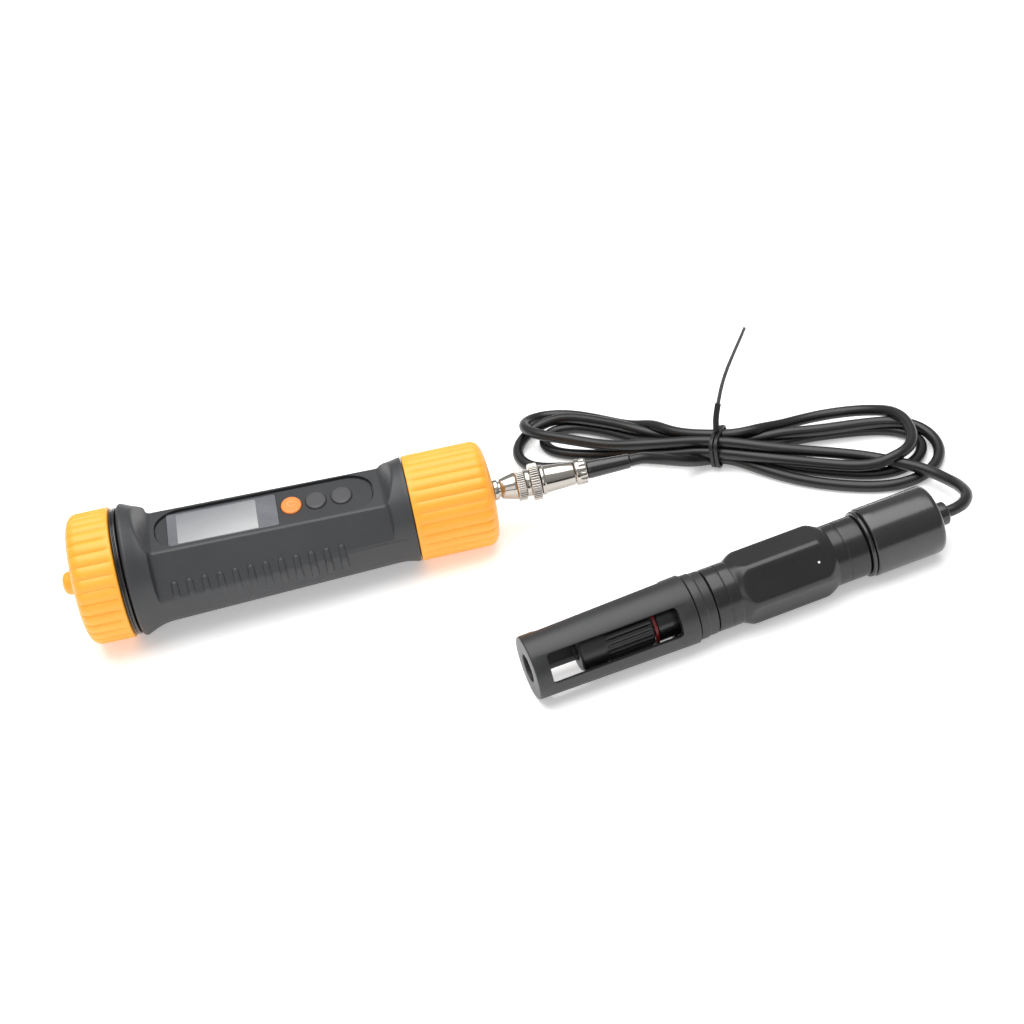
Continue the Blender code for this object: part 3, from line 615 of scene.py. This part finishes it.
def cableGuide():
    near, wide = cable["spread"]
    bootEnd = meterPlace @ Vector((200.9, 0, 0)) / mm
    gland = electrodePlace @ Vector((165.7, 0, 0)) / mm
    runs = [
        [bootEnd, bootEnd + 5 * meterLine] + placed((78.7, 18.1, 16), (85.5, 19, 11.6), (92, 22.4, 7)),
        tieSlot(-near, 0),
        placed((113, 12, 3), (121.5, -3, 2.3), (132, -16, 2.3), (142, -25, 2.3), (152, -32, 2.3),
               (162, -34, 2.3), (170, -32, 2.3), (177, -27, 2.6), (181, -19, 3.2), (181, -11, 4.2),
               (178, -4, 5), (171, 2, 6), (160, 7, 6.5), (146, 12, 6.5), (131, 17.5, 7), (118.2, 20.5, 7.5)),
        tieSlot(wide, 1, False),
        placed((99.2, 35.3, 7.2), (85, 53, 7), (74, 68, 6.9), (66, 78, 6.8), (60, 84, 6), (55, 87, 5),
               (50, 88, 3.9), (45, 87, 2.8), (40, 83, 2.3), (36, 76, 2.3), (35, 70, 2.3), (37, 63, 2.3),
               (42, 58, 2.3), (50, 54, 2.3), (63, 47, 2.3), (79, 43, 2.4), (97, 33, 3.4)),
        tieSlot(near, 0),
        placed((116.5, 16.5, 3.4), (124, 4, 2.5), (135, -8, 2.3), (146, -18, 2.3), (155, -24, 2.3),
               (163, -25, 2.3), (171, -22, 2.5), (176, -16, 3), (177, -9, 3), (175, -2, 2.6), (169, 4, 2.3),
               (160, 9, 2.3), (146, 14.5, 2.6), (133, 17.5, 4.2), (121, 17.5, 6.3)),
        tieSlot(0, 1, False),
        placed((96.4, 31.7, 7.2), (88, 44, 5.8), (78, 60, 3.8), (70, 73, 2.4), (63.5, 80.5, 2.3),
               (57, 84, 2.3), (50.6, 83.2, 2.3), (46.8, 78.2, 2.3), (46.8, 72, 2.3), (50.5, 65.5, 2.3),
               (56.8, 60, 2.3), (66, 53, 2.6), (79, 41, 4), (93.6, 28, 6.6)),
        tieSlot(-wide, 1),
        placed((114, 11, 7), (125, 1, 6.4), (136, -10, 6.4), (147, -20, 6.7), (153, -24, 7.2),
               (160, -26, 8), (166, -24, 8.8), (171, -18, 9.3), (173, -12, 9.6), (174, -5, 9.6),
               (173, 3, 9), (170, 10, 7.6), (164, 17, 6), (154, 23, 5), (141, 25, 5.8), (128, 22.5, 8),
               (119, 20, 10.2)),
        tieSlot(near, 2, False),
        placed((97.8, 33.5, 10.6), (86, 53, 7), (77, 74, 3), (69, 86, 2.3), (63, 92, 2.3), (57, 95, 2.6),
               (51, 95, 3.6), (46, 92, 5.2), (43, 87, 7), (43, 80, 8.4), (46, 73, 9), (51, 68, 9),
               (57, 62, 8.6), (65, 53, 8.2), (74, 44, 8.4), (85, 37.5, 9.4), (95, 29.8, 10.6)),
        tieSlot(-near, 2),
        placed((115, 13, 10.4), (127, 5, 8.5), (139, -3, 7), (148, -11, 6.8), (156, -20, 6.8),
               (162, -28, 6.6), (167, -35, 6)),
        [gland + Vector(step) for step in ((14.1, 27.0, -6.6), (14.6, 20.0, -5.0), (13.4, 10.6, -2.4),
            (11.4, 5.6, -1.2), (7.5, 1.6, -0.4), (2.4, 0, 0), (0, 0, 0))],
    ]
    return [tuple(point) for run in runs for point in run]


def layCable(s):
    guide = smoothLine(cableGuide(), s["spacing"])
    line, count, width = guide.copy(), len(guide), s["diameter"]
    steps = np.abs(np.arange(count)[:, None] - np.arange(count)[None, :])
    apart = np.triu(steps > 5)
    held = np.zeros(count)
    held[:4] = held[-4:] = 1
    middle = np.array((*s["waist"], s["layers"][1]))
    held[np.linalg.norm((guide - middle)[:, :2], axis=1) < s["tieReach"]] = s["tieHold"]
    reach, ends = 4, s["endPoints"]
    sag = (reach * s["spacing"]) ** 2 / (2 * s["leastBend"])
    for turn in range(s["rounds"]):
        move = (guide - line) * (s["follow"] + 0.5 * held[:, None])
        move[1:-1] += s["tension"] * ((line[:-2] + line[2:]) / 2 - line[1:-1])
        chord = (line[:-2 * reach] + line[2 * reach:]) / 2 - line[reach:-reach]
        bend = np.linalg.norm(chord, axis=1, keepdims=True)
        move[reach:-reach] += s["unbend"] * chord * np.maximum(0, 1 - sag / np.maximum(bend, 1e-6))
        line = line + move * (1 - held[:, None] * 0.5)
        spans = ((line[:, None, :] - line[None, :, :]) ** 2).sum(2)
        first, second = np.nonzero(apart & (spans < width * width))
        gap = line[first] - line[second]
        far = np.linalg.norm(gap, axis=1, keepdims=True)
        push = gap / np.maximum(far, 1e-3) * (width - far) * s["push"]
        change, tally = np.zeros_like(line), np.zeros(count)
        np.add.at(change, first, push)
        np.add.at(change, second, -push)
        np.add.at(tally, first, 1)
        np.add.at(tally, second, 1)
        line += change / np.maximum(1, tally[:, None] * 0.6) * 1.2
        line[:, 2] = np.maximum(line[:, 2], s["floor"])
        line[:4], line[-ends:] = guide[:4], guide[-ends:]
    free = slice(3, -ends - 1)
    for turn in range(s["smoothing"]):
        line[free] += 0.4 * ((line[2:-ends - 2] + line[4:-ends]) / 2 - line[free])
    return evenLine(line, s["step"])


def makeCable():
    route = layCable(cable)
    data = bpy.data.curves.new("probeCable", "CURVE")
    data.dimensions = "3D"
    data.bevel_depth = cable["diameter"] / 2 * mm
    data.bevel_resolution = 4
    data.use_fill_caps = True
    spline = data.splines.new("POLY")
    spline.points.add(len(route) - 1)
    for point, place in zip(spline.points, route):
        point.co = (*(place * mm), 1)
    spline.use_smooth = True
    data.materials.append(materials["jacket"])
    piece = bpy.data.objects.new("probeCable", data)
    bpy.context.scene.collection.objects.link(piece)
    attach(piece, "base")
    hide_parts("cable_to_meter", "cable_hank", "cable_to_electrode")
    length = float(np.linalg.norm(np.diff(route, axis=0), axis=1).sum())
    print("stage: cable, length in mm", round(length))
    return piece, route, length


cablePiece, cableRoute, cableLength = makeCable()

# ---- the tie around the hank
tie = {"halfAcross": 8.1, "low": 0.8, "high": 14.1, "corner": 4.2, "width": 1.5, "thick": 1.0,
       "offsets": (-0.95, 0.95)}


def makeTie(s):
    middle, along = np.array((*cable["waist"], 0.0)), np.array((*cable["along"], 0.0))
    across = np.array((-along[1], along[0], 0.0))
    loop = roundedOutline(-s["halfAcross"], s["halfAcross"], s["low"], s["high"], s["corner"], 10)
    points, columns = [], 0
    section = softSection(s["width"], s["thick"])
    rows = len(loop)
    faces = []
    for turn, offset in enumerate(s["offsets"]):
        start = len(points)
        for index, (y, z) in enumerate(loop):
            before, after = np.array(loop[index - 1]), np.array(loop[(index + 1) % rows])
            run = (after - before) / np.linalg.norm(after - before)
            outward = np.array((run[1], -run[0]))
            lift = 0.12 * turn
            for a, b in section:
                spot = np.array((y, z)) + outward * (b - s["thick"] / 2 + lift)
                points.append(middle + across * spot[0] + np.array((0, 0, 1)) * spot[1] + along * (offset + a))
        columns = len(section)
        faces += [tuple(start + index for index in face) for face in gridFaces(rows, columns, True)]
    piece = newPiece("cableTie", points, faces, 50)
    return settle(piece, worldPlace, materials["strap"], "base", "black_plastic", "cable_tie")


def softSection(width, thick, corner=0.25):
    return roundedOutline(-width / 2, width / 2, -thick / 2, thick / 2, min(corner, thick * 0.45), 3)


def makeTieTail():
    top = tie["high"] + 0.6
    path = smoothLine([(105.1, 26.8, top), (106.1, 28.0, 19.0), (109.6, 30.7, 26.0), (114.6, 34.2, 33.0),
                       (128.6, 41.7, 46.5)], 1.0)
    bend = int(len(path) * 0.28)
    lower = sweep("tieTailStem", path[:bend], softSection(2.2, 1.5), (0.9, 0.3, -0.3))
    settle(lower, worldPlace, materials["strap"], "base", "black_plastic", "cable_tie_tail")
    count = len(path) - bend + 1
    sizes = [1.0 - 0.25 * index / count for index in range(count)]
    # painted sheen: the upper tail is given a lighter grey copy of the tie's black plastic
    upper = sweep("tieTailTip", path[bend - 1:], softSection(1.7, 0.8), (0.9, 0.3, -0.3), sizes)
    settle(upper, worldPlace, materials["strapPaintedSheen"], "base", "black_plastic")


makeTie(tie)
makeTieTail()
print("stage: tie")

# ---- the meter's housing
housing = {"segments": 288, "sideAngle": 25.0, "sideNear": 19.3, "sideFar": 18.0, "sideStart": 12.4, "sideEnd": 106.0,
           "edge": 1.1, "partingDepth": 0.16}
housingOutline = [(-0.3, 21.2), (2.5, 21.3), (2.7, 23.4), (3.2, 25.4), (4.3, 26.0), (6.2, 25.2), (8.6, 24.1),
                  (11.0, 23.3), (14.0, 22.7), (104.0, 19.6), (107.5, 19.6), (110.3, 20.1), (112.2, 20.55),
                  (113.2, 20.55)]


def softMin(a, b, width):
    h = np.clip(0.5 + 0.5 * (b - a) / width, 0, 1)
    return b * (1 - h) + a * h - width * h * (1 - h)


def rampUp(value, start, end):
    t = min(1.0, max(0.0, (value - start) / (end - start)))
    return t * t * (3 - 2 * t)


def housingSection(station, angles, outline):
    stations, radii = zip(*outline)
    radius = float(np.interp(station, stations, radii))
    level = faceHeight - (station - faceMiddle) * math.tan(faceTilt)
    level += 14.0 * (1 - rampUp(station, 5.0, 14.5)) + 10.0 * rampUp(station, 103.0, 112.0)
    s = housing
    distance = s["sideNear"] + (s["sideFar"] - s["sideNear"]) * (station - 14) / 90
    reach = rampUp(station, s["sideStart"] - 1.4, s["sideStart"] + 0.9)
    reach *= 1 - rampUp(station, s["sideEnd"] - 2.0, s["sideEnd"] + 3.0)
    result = np.full(len(angles), radius)
    lean = math.radians(s["sideAngle"])
    for normal in (lean, math.pi - lean):
        facing = np.cos(angles - normal)
        side = distance / np.maximum(facing, 0.05) + 8.0 * (1 - reach)
        result = softMin(result, side, 0.5)
    front = level / np.maximum(np.sin(angles), 0.05)
    return softMin(result, front, s["edge"])


def makeHousing(s):
    segments = s["segments"]
    angles = np.arange(segments) * 2 * math.pi / segments
    neck = [(-12.6 + step, 20.5 if step % 2 else 20.0) for step in range(12)]
    outline = neck + softCorners(housingOutline, 1.2, 4)
    stations = {round(x, 3) for x, _ in outline}
    for start, end, step in ((14.5, 104, 2.0), (4.5, 16.0, 0.5), (102, 112, 0.6)):
        stations |= {round(x, 3) for x in np.arange(start, end, step)}
    stations = sorted(stations)
    points = []
    for station in stations:
        radii = housingSection(station, angles, outline)
        if 14 < station < 110:
            for index in (0, segments // 2):
                radii[index] -= s["partingDepth"]
        points += [(station, r * math.cos(a), r * math.sin(a)) for r, a in zip(radii, angles)]
    faces = gridFaces(len(stations), segments)
    base = (len(stations) - 1) * segments
    faces += [tuple(range(segments)), tuple(base + index for index in range(segments))]
    piece = newPiece("housingShell", points, faces, 40)
    half = 42.2
    toFace = meterPlace.inverted() @ facePlace
    recess = plate("recess", roundedOutline(-half - 0.3, half + 0.5, -12.6, 12.6, 10.6, 16), [(-1.25, 0), (6, 0)])
    recess.data.transform(toFace)
    carve(piece, [recess])
    return settle(piece, meterPlace, materials["housing"], "base", "grey_shell", "housing")


makeHousing(housing)
print("stage: housing")

bars = {"count": 12, "pitch": 5.87, "first": 19.7, "top": 10.5, "bottom": -21.0, "width": 2.4, "height": 0.6}


def makeGripBars(s):
    outline = softCorners(housingOutline, 1.2, 4)
    middle = s["first"] + s["pitch"] * (s["count"] - 1) / 2
    for side, name in ((math.pi, "gripBarsNear"), (0.0, "gripBarsFar")):
        angles = np.radians(np.linspace(s["top"], s["bottom"], 26))
        turned180 = math.pi - angles if side else angles
        radii = housingSection(middle, turned180, outline)
        run = np.linspace(0, 1, 26)
        height = s["height"] * np.minimum(1, np.minimum(run / 0.06, (1 - run) / 0.5)) ** 0.6 - 0.05
        width = s["width"] / 2 * np.minimum(1, np.sqrt(np.minimum(1, run / 0.1 + 0.02)))
        points = []
        for angle, radius, high, wide in zip(turned180, radii, height, width):
            for a, b in ((-1.15, -0.4), (-1, high * 0.55), (-0.82, high * 0.92), (-0.5, high), (0.5, high),
                         (0.82, high * 0.92), (1, high * 0.55), (1.15, -0.4)):
                r = radius + b
                points.append((a * wide, r * math.cos(angle), r * math.sin(angle)))
        faces = gridFaces(26, 8)
        faces += [tuple(range(8)), tuple(25 * 8 + index for index in range(8))]
        piece = newPiece(name, points, faces, 60)
        slope = (housing["sideFar"] - housing["sideNear"]) / 90
        lean = math.radians(housing["sideAngle"])
        sign = -1 if side else 1
        step = (s["pitch"], sign * slope * s["pitch"] * math.cos(lean), slope * s["pitch"] * math.sin(lean))
        growNodes(piece, rowTree, **{"Count": s["count"], "Step": step, "Turn": 0.0, "Material": materials["housing"]})
        back = (s["count"] - 1) / 2
        shift = Matrix.Translation((s["first"], -step[1] * back, -step[2] * back))
        settle(piece, meterPlace @ shift, materials["housing"], "base", "grey_shell")


makeGripBars(bars)

# ---- screw caps and seal
batteryCap = {"ribs": 32, "depth": 0.75, "segments": 384, "roundness": 0.75}
sensorCollar = {"ribs": 28, "depth": 0.6, "segments": 336, "roundness": 0.8}


def makeBatteryCap(s):
    outline = [(0.0, 20.95), (0.0, 24.8), (-0.35, 25.65), (-13.8, 25.6), (-16.0, 24.3), (-17.4, 21.0), (-18.3, 12.0),
               (-18.8, 7.0), (-19.7, 4.8), (-21.6, 4.4), (-22.7, 3.6), (-23.3, 2.0), (-23.3, 0.0)]
    piece = turned("batteryCap", outline, s["segments"], 1.1, dense=1.2)
    flute(piece, materials["yellowCap"], s["ribs"], s["depth"], -17.0, -0.9, 1.2, s["roundness"], 19.0)
    hollow = turned("capHollow", [(-13.4, 0), (-13.4, 20.9), (1.0, 20.9), (1.0, 0)], 96, 0.3)
    carve(piece, [hollow])
    settle(piece, meterPlace, materials["yellowCap"], "battery_cap", "yellow_cap", "battery_cap")


def makeSensorCollar(s):
    outline = [(113.55, 18.2), (113.55, 20.3), (113.8, 20.75), (141.5, 20.65), (143.4, 19.6), (144.8, 17.2),
               (145.6, 12.0), (146.0, 8.0), (146.0, 4.4)]
    piece = turned("sensorCollar", outline, s["segments"], 1.0, dense=1.4)
    flute(piece, materials["yellowCap"], s["ribs"], s["depth"], 114.4, 144.5, 1.5, s["roundness"], 16.5)
    settle(piece, meterPlace, materials["yellowCap"], "sensor_collar", "yellow_cap", "sensor_collar")


makeBatteryCap(batteryCap)
makeSensorCollar(sensorCollar)
seal = turned("capSeal", [(0.1, 21.5), (0.1, 24.6), (0.9, 25.0), (1.3, 24.4), (1.7, 25.0), (2.5, 24.7), (2.5, 21.5)],
              144, 0.4, ring=True)
settle(seal, meterPlace, materials["sealBlack"], "base", "black_rubber", "battery_cap_seal")
print("stage: caps")

# ---- front panel
panel = {"half": 42.2, "near": -12.3, "far": 11.5, "top": -0.55, "windowStart": 20.5, "windowEnd": 63.1,
         "windowHalf": 10.9, "screenStart": 24.2, "screenEnd": 55.2, "screenHalf": 9.9,
         "keys": {"power_button": 68.7, "cal_button": 78.3, "mode_button": 88.3}, "keySize": (4.0, 5.6), "keyTop": 0.25}


def makePanel(s):
    start, end = s["windowStart"] - faceMiddle, s["windowEnd"] - faceMiddle
    outline = roundedOutline(-s["half"], s["half"], s["near"], s["far"], 10.3, 16)
    film = plate("panelFilm", outline, [(-1.2, 0), (s["top"] - 0.15, 0), (s["top"], 0.2)])
    window = s["windowHalf"]
    frameOutline = roundedOutline(start - 0.15, end + 0.15, -window - 0.1, window + 0.1, 1.2)
    opening = plate("opening", frameOutline, [(-3, 0), (3, 0)])
    paneOutline = roundedOutline(start, end, -window, window, 1.0)
    cutters = [opening]
    for name, station in s["keys"].items():
        hole = ellipseOutline(station - faceMiddle, s["keySize"][0] + 0.25, s["keySize"][1] + 0.25)
        cutters.append(plate("hole", hole, [(-3, 0), (3, 0)]))
    carve(film, cutters)
    settle(film, facePlace, materials["film"], "base", "panel_film", "face_panel")
    mask = plate("windowMask", paneOutline, [(-1.2, 0), (-0.85, 0)])
    settle(mask, facePlace, materials["mask"], "base", "panel_film")
    screenOutline = roundedOutline(s["screenStart"] - faceMiddle, s["screenEnd"] - faceMiddle, -s["screenHalf"],
                                   s["screenHalf"], 0.4)
    screen = plate("displayScreen", screenOutline, [(-1.1, 0), (-0.78, 0), (-0.74, 0.1)])
    screenPaint = makeScreenMaterial(s["screenStart"], s["screenEnd"], s["screenHalf"])
    settle(screen, facePlace, screenPaint, "base", "screen", "display_screen")
    pane = plate("displayWindow", paneOutline, [(-0.7, 0), (s["top"] - 0.05, 0), (s["top"] + 0.03, 0.15)])
    settle(pane, facePlace, makeWindowMaterial(), "base", "window_glass", "display_window")
    for name, station in s["keys"].items():
        halfX, halfY = s["keySize"]
        levels = [(-0.62, 0), (s["keyTop"] - 0.55, 0.0), (s["keyTop"] - 0.25, 0.18), (s["keyTop"] - 0.07, 0.55),
                  (s["keyTop"], 1.1), (s["keyTop"] + 0.04, 2.2)]
        key = plate(name + "Key", ellipseOutline(station - faceMiddle, halfX, halfY), levels)
        orange = name == "power_button"
        settle(key, facePlace, materials["orangeKey" if orange else "greyKey"], name,
               "orange_key" if orange else "grey_key", name)
    makeKeyMark(s)


def makeKeyMark(s):
    centre = s["keys"]["power_button"] - faceMiddle
    ring = [(centre + 1.35 * math.cos(t), 1.7 * math.sin(t), s["keyTop"] + 0.05)
            for t in np.radians(np.linspace(30, 330, 40))]
    mark = sweep("powerMark", ring, softSection(0.42, 0.16, 0.05), (0, 0, 1))
    settle(mark, facePlace, materials["mark"], "power_button", "orange_key")


makePanel(panel)
print("stage: panel")

# ---- plug and socket
plug = {"knurls": 44, "knurlDepth": 0.38}


def makeConnector(s):
    nickel = materials["nickel"]
    nut = turned("socketNut", [(146.1, 3.2), (146.1, 3.8), (146.5, 4.0), (147.8, 4.0), (148.2, 3.8), (148.2, 3.2)],
                 96, 0.2, ring=True)
    settle(nut, meterPlace, nickel, "base", "nickel", "jack_nut")
    barrel = turned("socketBarrel", [(146.2, 2.3), (146.2, 3.0), (157.4, 3.0), (157.4, 2.3)], 96, 0.2, ring=True)
    settle(barrel, meterPlace, nickel, "base", "nickel", "jack_barrel")
    outline = [(148.9, 3.4), (148.9, 3.9), (150.4, 4.3), (155.2, 5.5), (155.5, 6.3), (158.7, 6.3), (159.0, 5.3),
               (160.7, 5.3), (161.0, 7.3), (164.3, 7.35), (164.6, 6.9), (164.6, 5.2), (157.7, 5.1), (157.7, 3.4)]
    ring = turned("bayonetRing", outline, 352, 0.3, ring=True, dense=0.5)
    flute(ring, nickel, s["knurls"], s["knurlDepth"], 160.9, 164.5, 0.3, 0.9, 6.3)
    flute(ring, nickel, s["knurls"], s["knurlDepth"] * 0.8, 155.3, 158.9, 0.3, 0.9, 6.1)
    settle(ring, meterPlace, nickel, "bayonet_ring", "nickel", "bayonet_ring")
    shell = turned("plugShell", [(158.0, 0), (158.0, 4.6), (164.9, 4.6), (164.9, 5.9), (166.2, 6.0), (166.6, 5.5),
                                 (172.0, 5.1), (178.3, 4.6), (178.3, 0)], 96, 0.4)
    settle(shell, meterPlace, nickel, "base", "nickel", "plug_body")
    crimp = turned("plugNut", [(178.5, 0), (178.5, 4.7), (179.0, 5.15), (182.9, 5.15), (183.4, 4.5), (183.4, 0)], 240,
                   0.3, dense=0.4)
    flute(crimp, nickel, 12, 0.55, 180.3, 184.5, 0.4, 0.5, 3.5)
    settle(crimp, meterPlace, nickel, "base", "nickel", "plug_nut")
    boot = turned("plugBoot", [(183.5, 0), (183.5, 3.5), (185.2, 3.55), (200.2, 2.85), (200.6, 2.6), (200.6, 0)],
                  64, 0.5)
    settle(boot, meterPlace, materials["sealBlack"], "base", "black_rubber", "plug_boot")
    return ring, shell, crimp, boot


plugPieces = makeConnector(plug)
print("stage: plug")

# ---- electrode
def onAxis(station, turn, radius):
    normal = Vector((0, math.cos(turn), math.sin(turn)))
    forward = Vector((1, 0, 0))
    spot = Matrix((forward, normal.cross(forward), normal)).transposed().to_4x4()
    spot.translation = forward * station + normal * radius
    return spot


guard = {"windowStart": 5.6, "windowEnd": 55.2, "windowWidth": 11.3, "windowAngle": 22.0}


def makeGuard(s):
    outline = [(0, 5.2), (0, 11.5), (0.35, 11.85), (61.6, 12.85), (61.8, 12.6), (61.8, 9.95), (3.0, 9.95), (3.0, 5.2)]
    piece = turned("guardSleeve", outline, 144, 0.5, ring=True)
    cutters = []
    length = s["windowEnd"] - s["windowStart"]
    for index in range(3):
        turn = math.radians(180 - s["windowAngle"] + 120 * index)
        opening = roundedOutline(-length / 2, length / 2, -s["windowWidth"] / 2, s["windowWidth"] / 2, 1.6, 6)
        block = plate("slot", opening, [(6.0, 0), (18.0, 0)])
        block.data.transform(onAxis(s["windowStart"] + length / 2, turn, 0.0))
        cutters.append(block)
    carve(piece, cutters)
    bevel = piece.modifiers.new("soften", "BEVEL")
    bevel.width = 0.22
    bevel.segments = 2
    bevel.limit_method = "ANGLE"
    bevel.angle_limit = math.radians(50)
    bakePiece(piece, 40)
    settle(piece, electrodePlace, materials["guard"], "guard", "black_plastic", "guard")


def makeCell():
    cap = turned("membraneCap", [(18.1, 3.4), (18.1, 7.2), (18.9, 8.0), (27.6, 8.1), (28.0, 7.9), (45.6, 7.9), (46.0, 7.4),
                                 (46.0, 6.2), (21.0, 6.2), (21.0, 5.6), (19.4, 5.6), (19.4, 3.4)], 240, 0.3, ring=True,
                 dense=0.8)
    flute(cap, materials["insideBlack"], 20, 0.6, 28.0, 45.9, 0.8, 0.6, 7.0)
    settle(cap, electrodePlace, materials["insideBlack"], "base", "black_plastic", "membrane_cap")
    ring = turned("membraneSeal", [(46.3, 6.6), (46.3, 8.3), (47.6, 8.3), (47.6, 6.6)], 96, 0.5, ring=True)
    settle(ring, electrodePlace, materials["redSeal"], "base", "red_rubber", "membrane_seal")
    nut = turned("guardCollar", [(62.1, 9.5), (62.1, 11.8), (62.4, 12.15), (65.4, 12.15), (65.8, 11.85), (69.0, 11.8),
                                 (69.3, 11.5), (69.3, 9.5)], 144, 0.25, ring=True)
    settle(nut, electrodePlace, materials["guard"], "guard_nut", "black_plastic", "guard_nut")


grip = {"start": 79.2, "end": 117.0, "apothem": 12.3, "roll": 5.0, "edge": 0.45, "segments": 240}


def makeGrip(s):
    angles = np.arange(s["segments"]) * 2 * math.pi / s["segments"]
    corner = s["apothem"] / math.cos(math.pi / 6)
    profile = [(47.9, 0.01), (47.9, 7.5), (56.0, 7.5), (56.0, 9.2), (69.6, 9.2), (69.6, 11.4), (70.0, 11.75),
               (74.6, 11.75), (74.8, 11.5), (75.1, 11.75), (78.9, 11.75), (79.3, 11.6), (84.5, corner + 0.2),
               (111.9, corner + 0.2), (117.0, 11.5), (117.4, 11.4), (121.6, 11.4), (121.8, 11.2), (122.1, 11.4),
               (129.4, 11.4), (129.8, 11.0), (129.8, 10.6), (131.7, 10.6), (131.7, 0.01)]
    profile = softCorners(profile, 0.4, 3)
    rows = [profile[0]]
    for before, after in zip(profile, profile[1:]):
        count = max(1, int(math.dist(before, after) / 1.2))
        for t in range(1, count + 1):
            rows.append(tuple(np.array(before) * (1 - t / count) + np.array(after) * t / count))
    points = []
    for station, radius in rows:
        radii = np.full(len(angles), float(radius))
        if s["start"] - 0.2 < station < s["end"] + 0.2:
            flats = np.full(len(angles), 99.0)
            for index in range(6):
                normal = math.pi - math.radians(30 + s["roll"] + 60 * index)
                flats = np.minimum(flats, s["apothem"] / np.maximum(np.cos(angles - normal), 0.05))
            radii = softMin(radii, flats, s["edge"])
            rounded = corner - 0.5
            radii = softMin(radii, np.full(len(angles), rounded), 0.6)
        points += [(station, r * math.cos(a), r * math.sin(a)) for r, a in zip(radii, angles)]
    faces = gridFaces(len(rows), s["segments"])
    base = (len(rows) - 1) * s["segments"]
    faces += [tuple(range(s["segments"])), tuple(base + index for index in range(s["segments"]))]
    piece = newPiece("electrodeBody", points, faces, 30)
    settle(piece, electrodePlace, materials["grip"], "base", "black_plastic", "electrode_body")
    dot = plate("gripDot", ellipseOutline(0, 0.45, 0.45, 24), [(-0.3, 0), (0.02, 0), (0.05, 0.1)])
    dot.data.transform(onAxis(110.0, math.pi - math.radians(30 + s["roll"]), s["apothem"]))
    settle(dot, electrodePlace, materials["whitePlastic"], "base", "white_plastic")


def makeRear():
    ring = turned("rearSeal", [(130.0, 10.7), (130.0, 12.5), (131.7, 12.5), (131.7, 10.7)], 120, 0.75, ring=True)
    settle(ring, electrodePlace, materials["sealBlack"], "base", "black_rubber", "rear_seal")
    cap = turned("rearCap", [(131.9, 0), (131.9, 12.4), (132.4, 12.9), (157.9, 12.9), (159.1, 12.3), (159.7, 10.9),
                             (159.8, 0)], 144, 0.8, dense=3.0)
    settle(cap, electrodePlace, materials["rearGloss"], "base", "black_plastic", "rear_cap")
    gland = turned("cableGland", [(159.6, 0), (159.6, 4.4), (165.0, 4.4), (165.5, 3.8), (165.5, 0)], 72, 0.25)
    settle(gland, electrodePlace, materials["sealBlack"], "base", "black_plastic", "cable_gland")
    # painted shade: the small hole in the rear cap is a dark disc lying on the surface, its dark colour standing in for
    # the shade inside the hole
    dot = plate("rearHolePaintedShade", ellipseOutline(0, 0.6, 0.6, 24), [(-0.3, 0), (0.03, 0)])
    dot.data.transform(onAxis(146.0, math.pi - math.radians(12), 12.9))
    settle(dot, electrodePlace, materials["sealBlack"], "base", "black_plastic")


makeGuard(guard)
makeCell()
makeGrip(grip)
makeRear()
print("stage: electrode")

# ---- finishes of the parts that stay as they are
slotFinish = {"black_plastic": "insideBlack", "circuit_board": "board", "steel": "steel", "brass_contact": "gold",
              "white_plastic": "whitePlastic", "nickel": "nickel", "black_rubber": "sealBlack", "red_rubber": "redSeal"}
for subpart in record["subparts"]:
    node = frame["nodes"][subpart["node"]]
    if not node.hide_render:
        finish = materials[slotFinish[subpart["material_slot"]]]
        node.data.materials.clear()
        node.data.materials.append(finish)

# ---- studio
studio = {"floorSize": 8.0, "floorColour": (0.9, 0.9, 0.9, 1), "floorGlow": 0.34, "world": 0.62,
          "lights": (("topSoftbox", (0.0, 0.1, 1.1), 1.3, 17.0), ("frontFill", (-0.5, -1.2, 0.55), 0.7, 1.6))}


def makeStudio(s):
    half = s["floorSize"] / 2
    mesh = bpy.data.meshes.new("floor")
    mesh.from_pydata([(-half, -half, 0), (half, -half, 0), (half, half, 0), (-half, half, 0)], [], [(0, 1, 2, 3)])
    floor = bpy.data.objects.new("floor", mesh)
    bpy.context.scene.collection.objects.link(floor)
    material, tree, shader, place = startMaterial("floorPaper")
    shader.inputs["Base Color"].default_value = s["floorColour"]
    shader.inputs["Roughness"].default_value = 0.8
    shader.inputs["Specular IOR Level"].default_value = 0.1
    shader.inputs["Emission Color"].default_value = (1, 1, 1, 1)
    shader.inputs["Emission Strength"].default_value = s["floorGlow"]
    mesh.materials.append(material)
    world = bpy.data.worlds.new("studioLight")
    bpy.context.scene.world = world
    bpy.context.scene.view_settings.view_transform = "Standard"
    world.use_nodes = True
    tree = world.node_tree
    back = next(node for node in tree.nodes if node.type == "BACKGROUND")
    where = tree.nodes.new("ShaderNodeTexCoord").outputs["Generated"]
    parts = tree.nodes.new("ShaderNodeSeparateXYZ")
    tree.links.new(where, parts.inputs[0])
    glow = rangeNode(tree, parts.outputs[2], 0.05, 0.9, 0.55, 1.0)
    joined = tree.nodes.new("ShaderNodeCombineColor")
    for socket in joined.inputs[:3]:
        tree.links.new(glow, socket)
    tree.links.new(joined.outputs[0], back.inputs[0])
    back.inputs[1].default_value = s["world"]
    for name, place, size, power in s["lights"]:
        data = bpy.data.lights.new(name, "AREA")
        data.size = size
        data.energy = power
        light = bpy.data.objects.new(name, data)
        light.location = place
        light.rotation_euler = (Vector((0.02, 0, 0)) - Vector(place)).to_track_quat("-Z", "Y").to_euler()
        bpy.context.scene.collection.objects.link(light)


makeStudio(studio)
print("stage: studio")
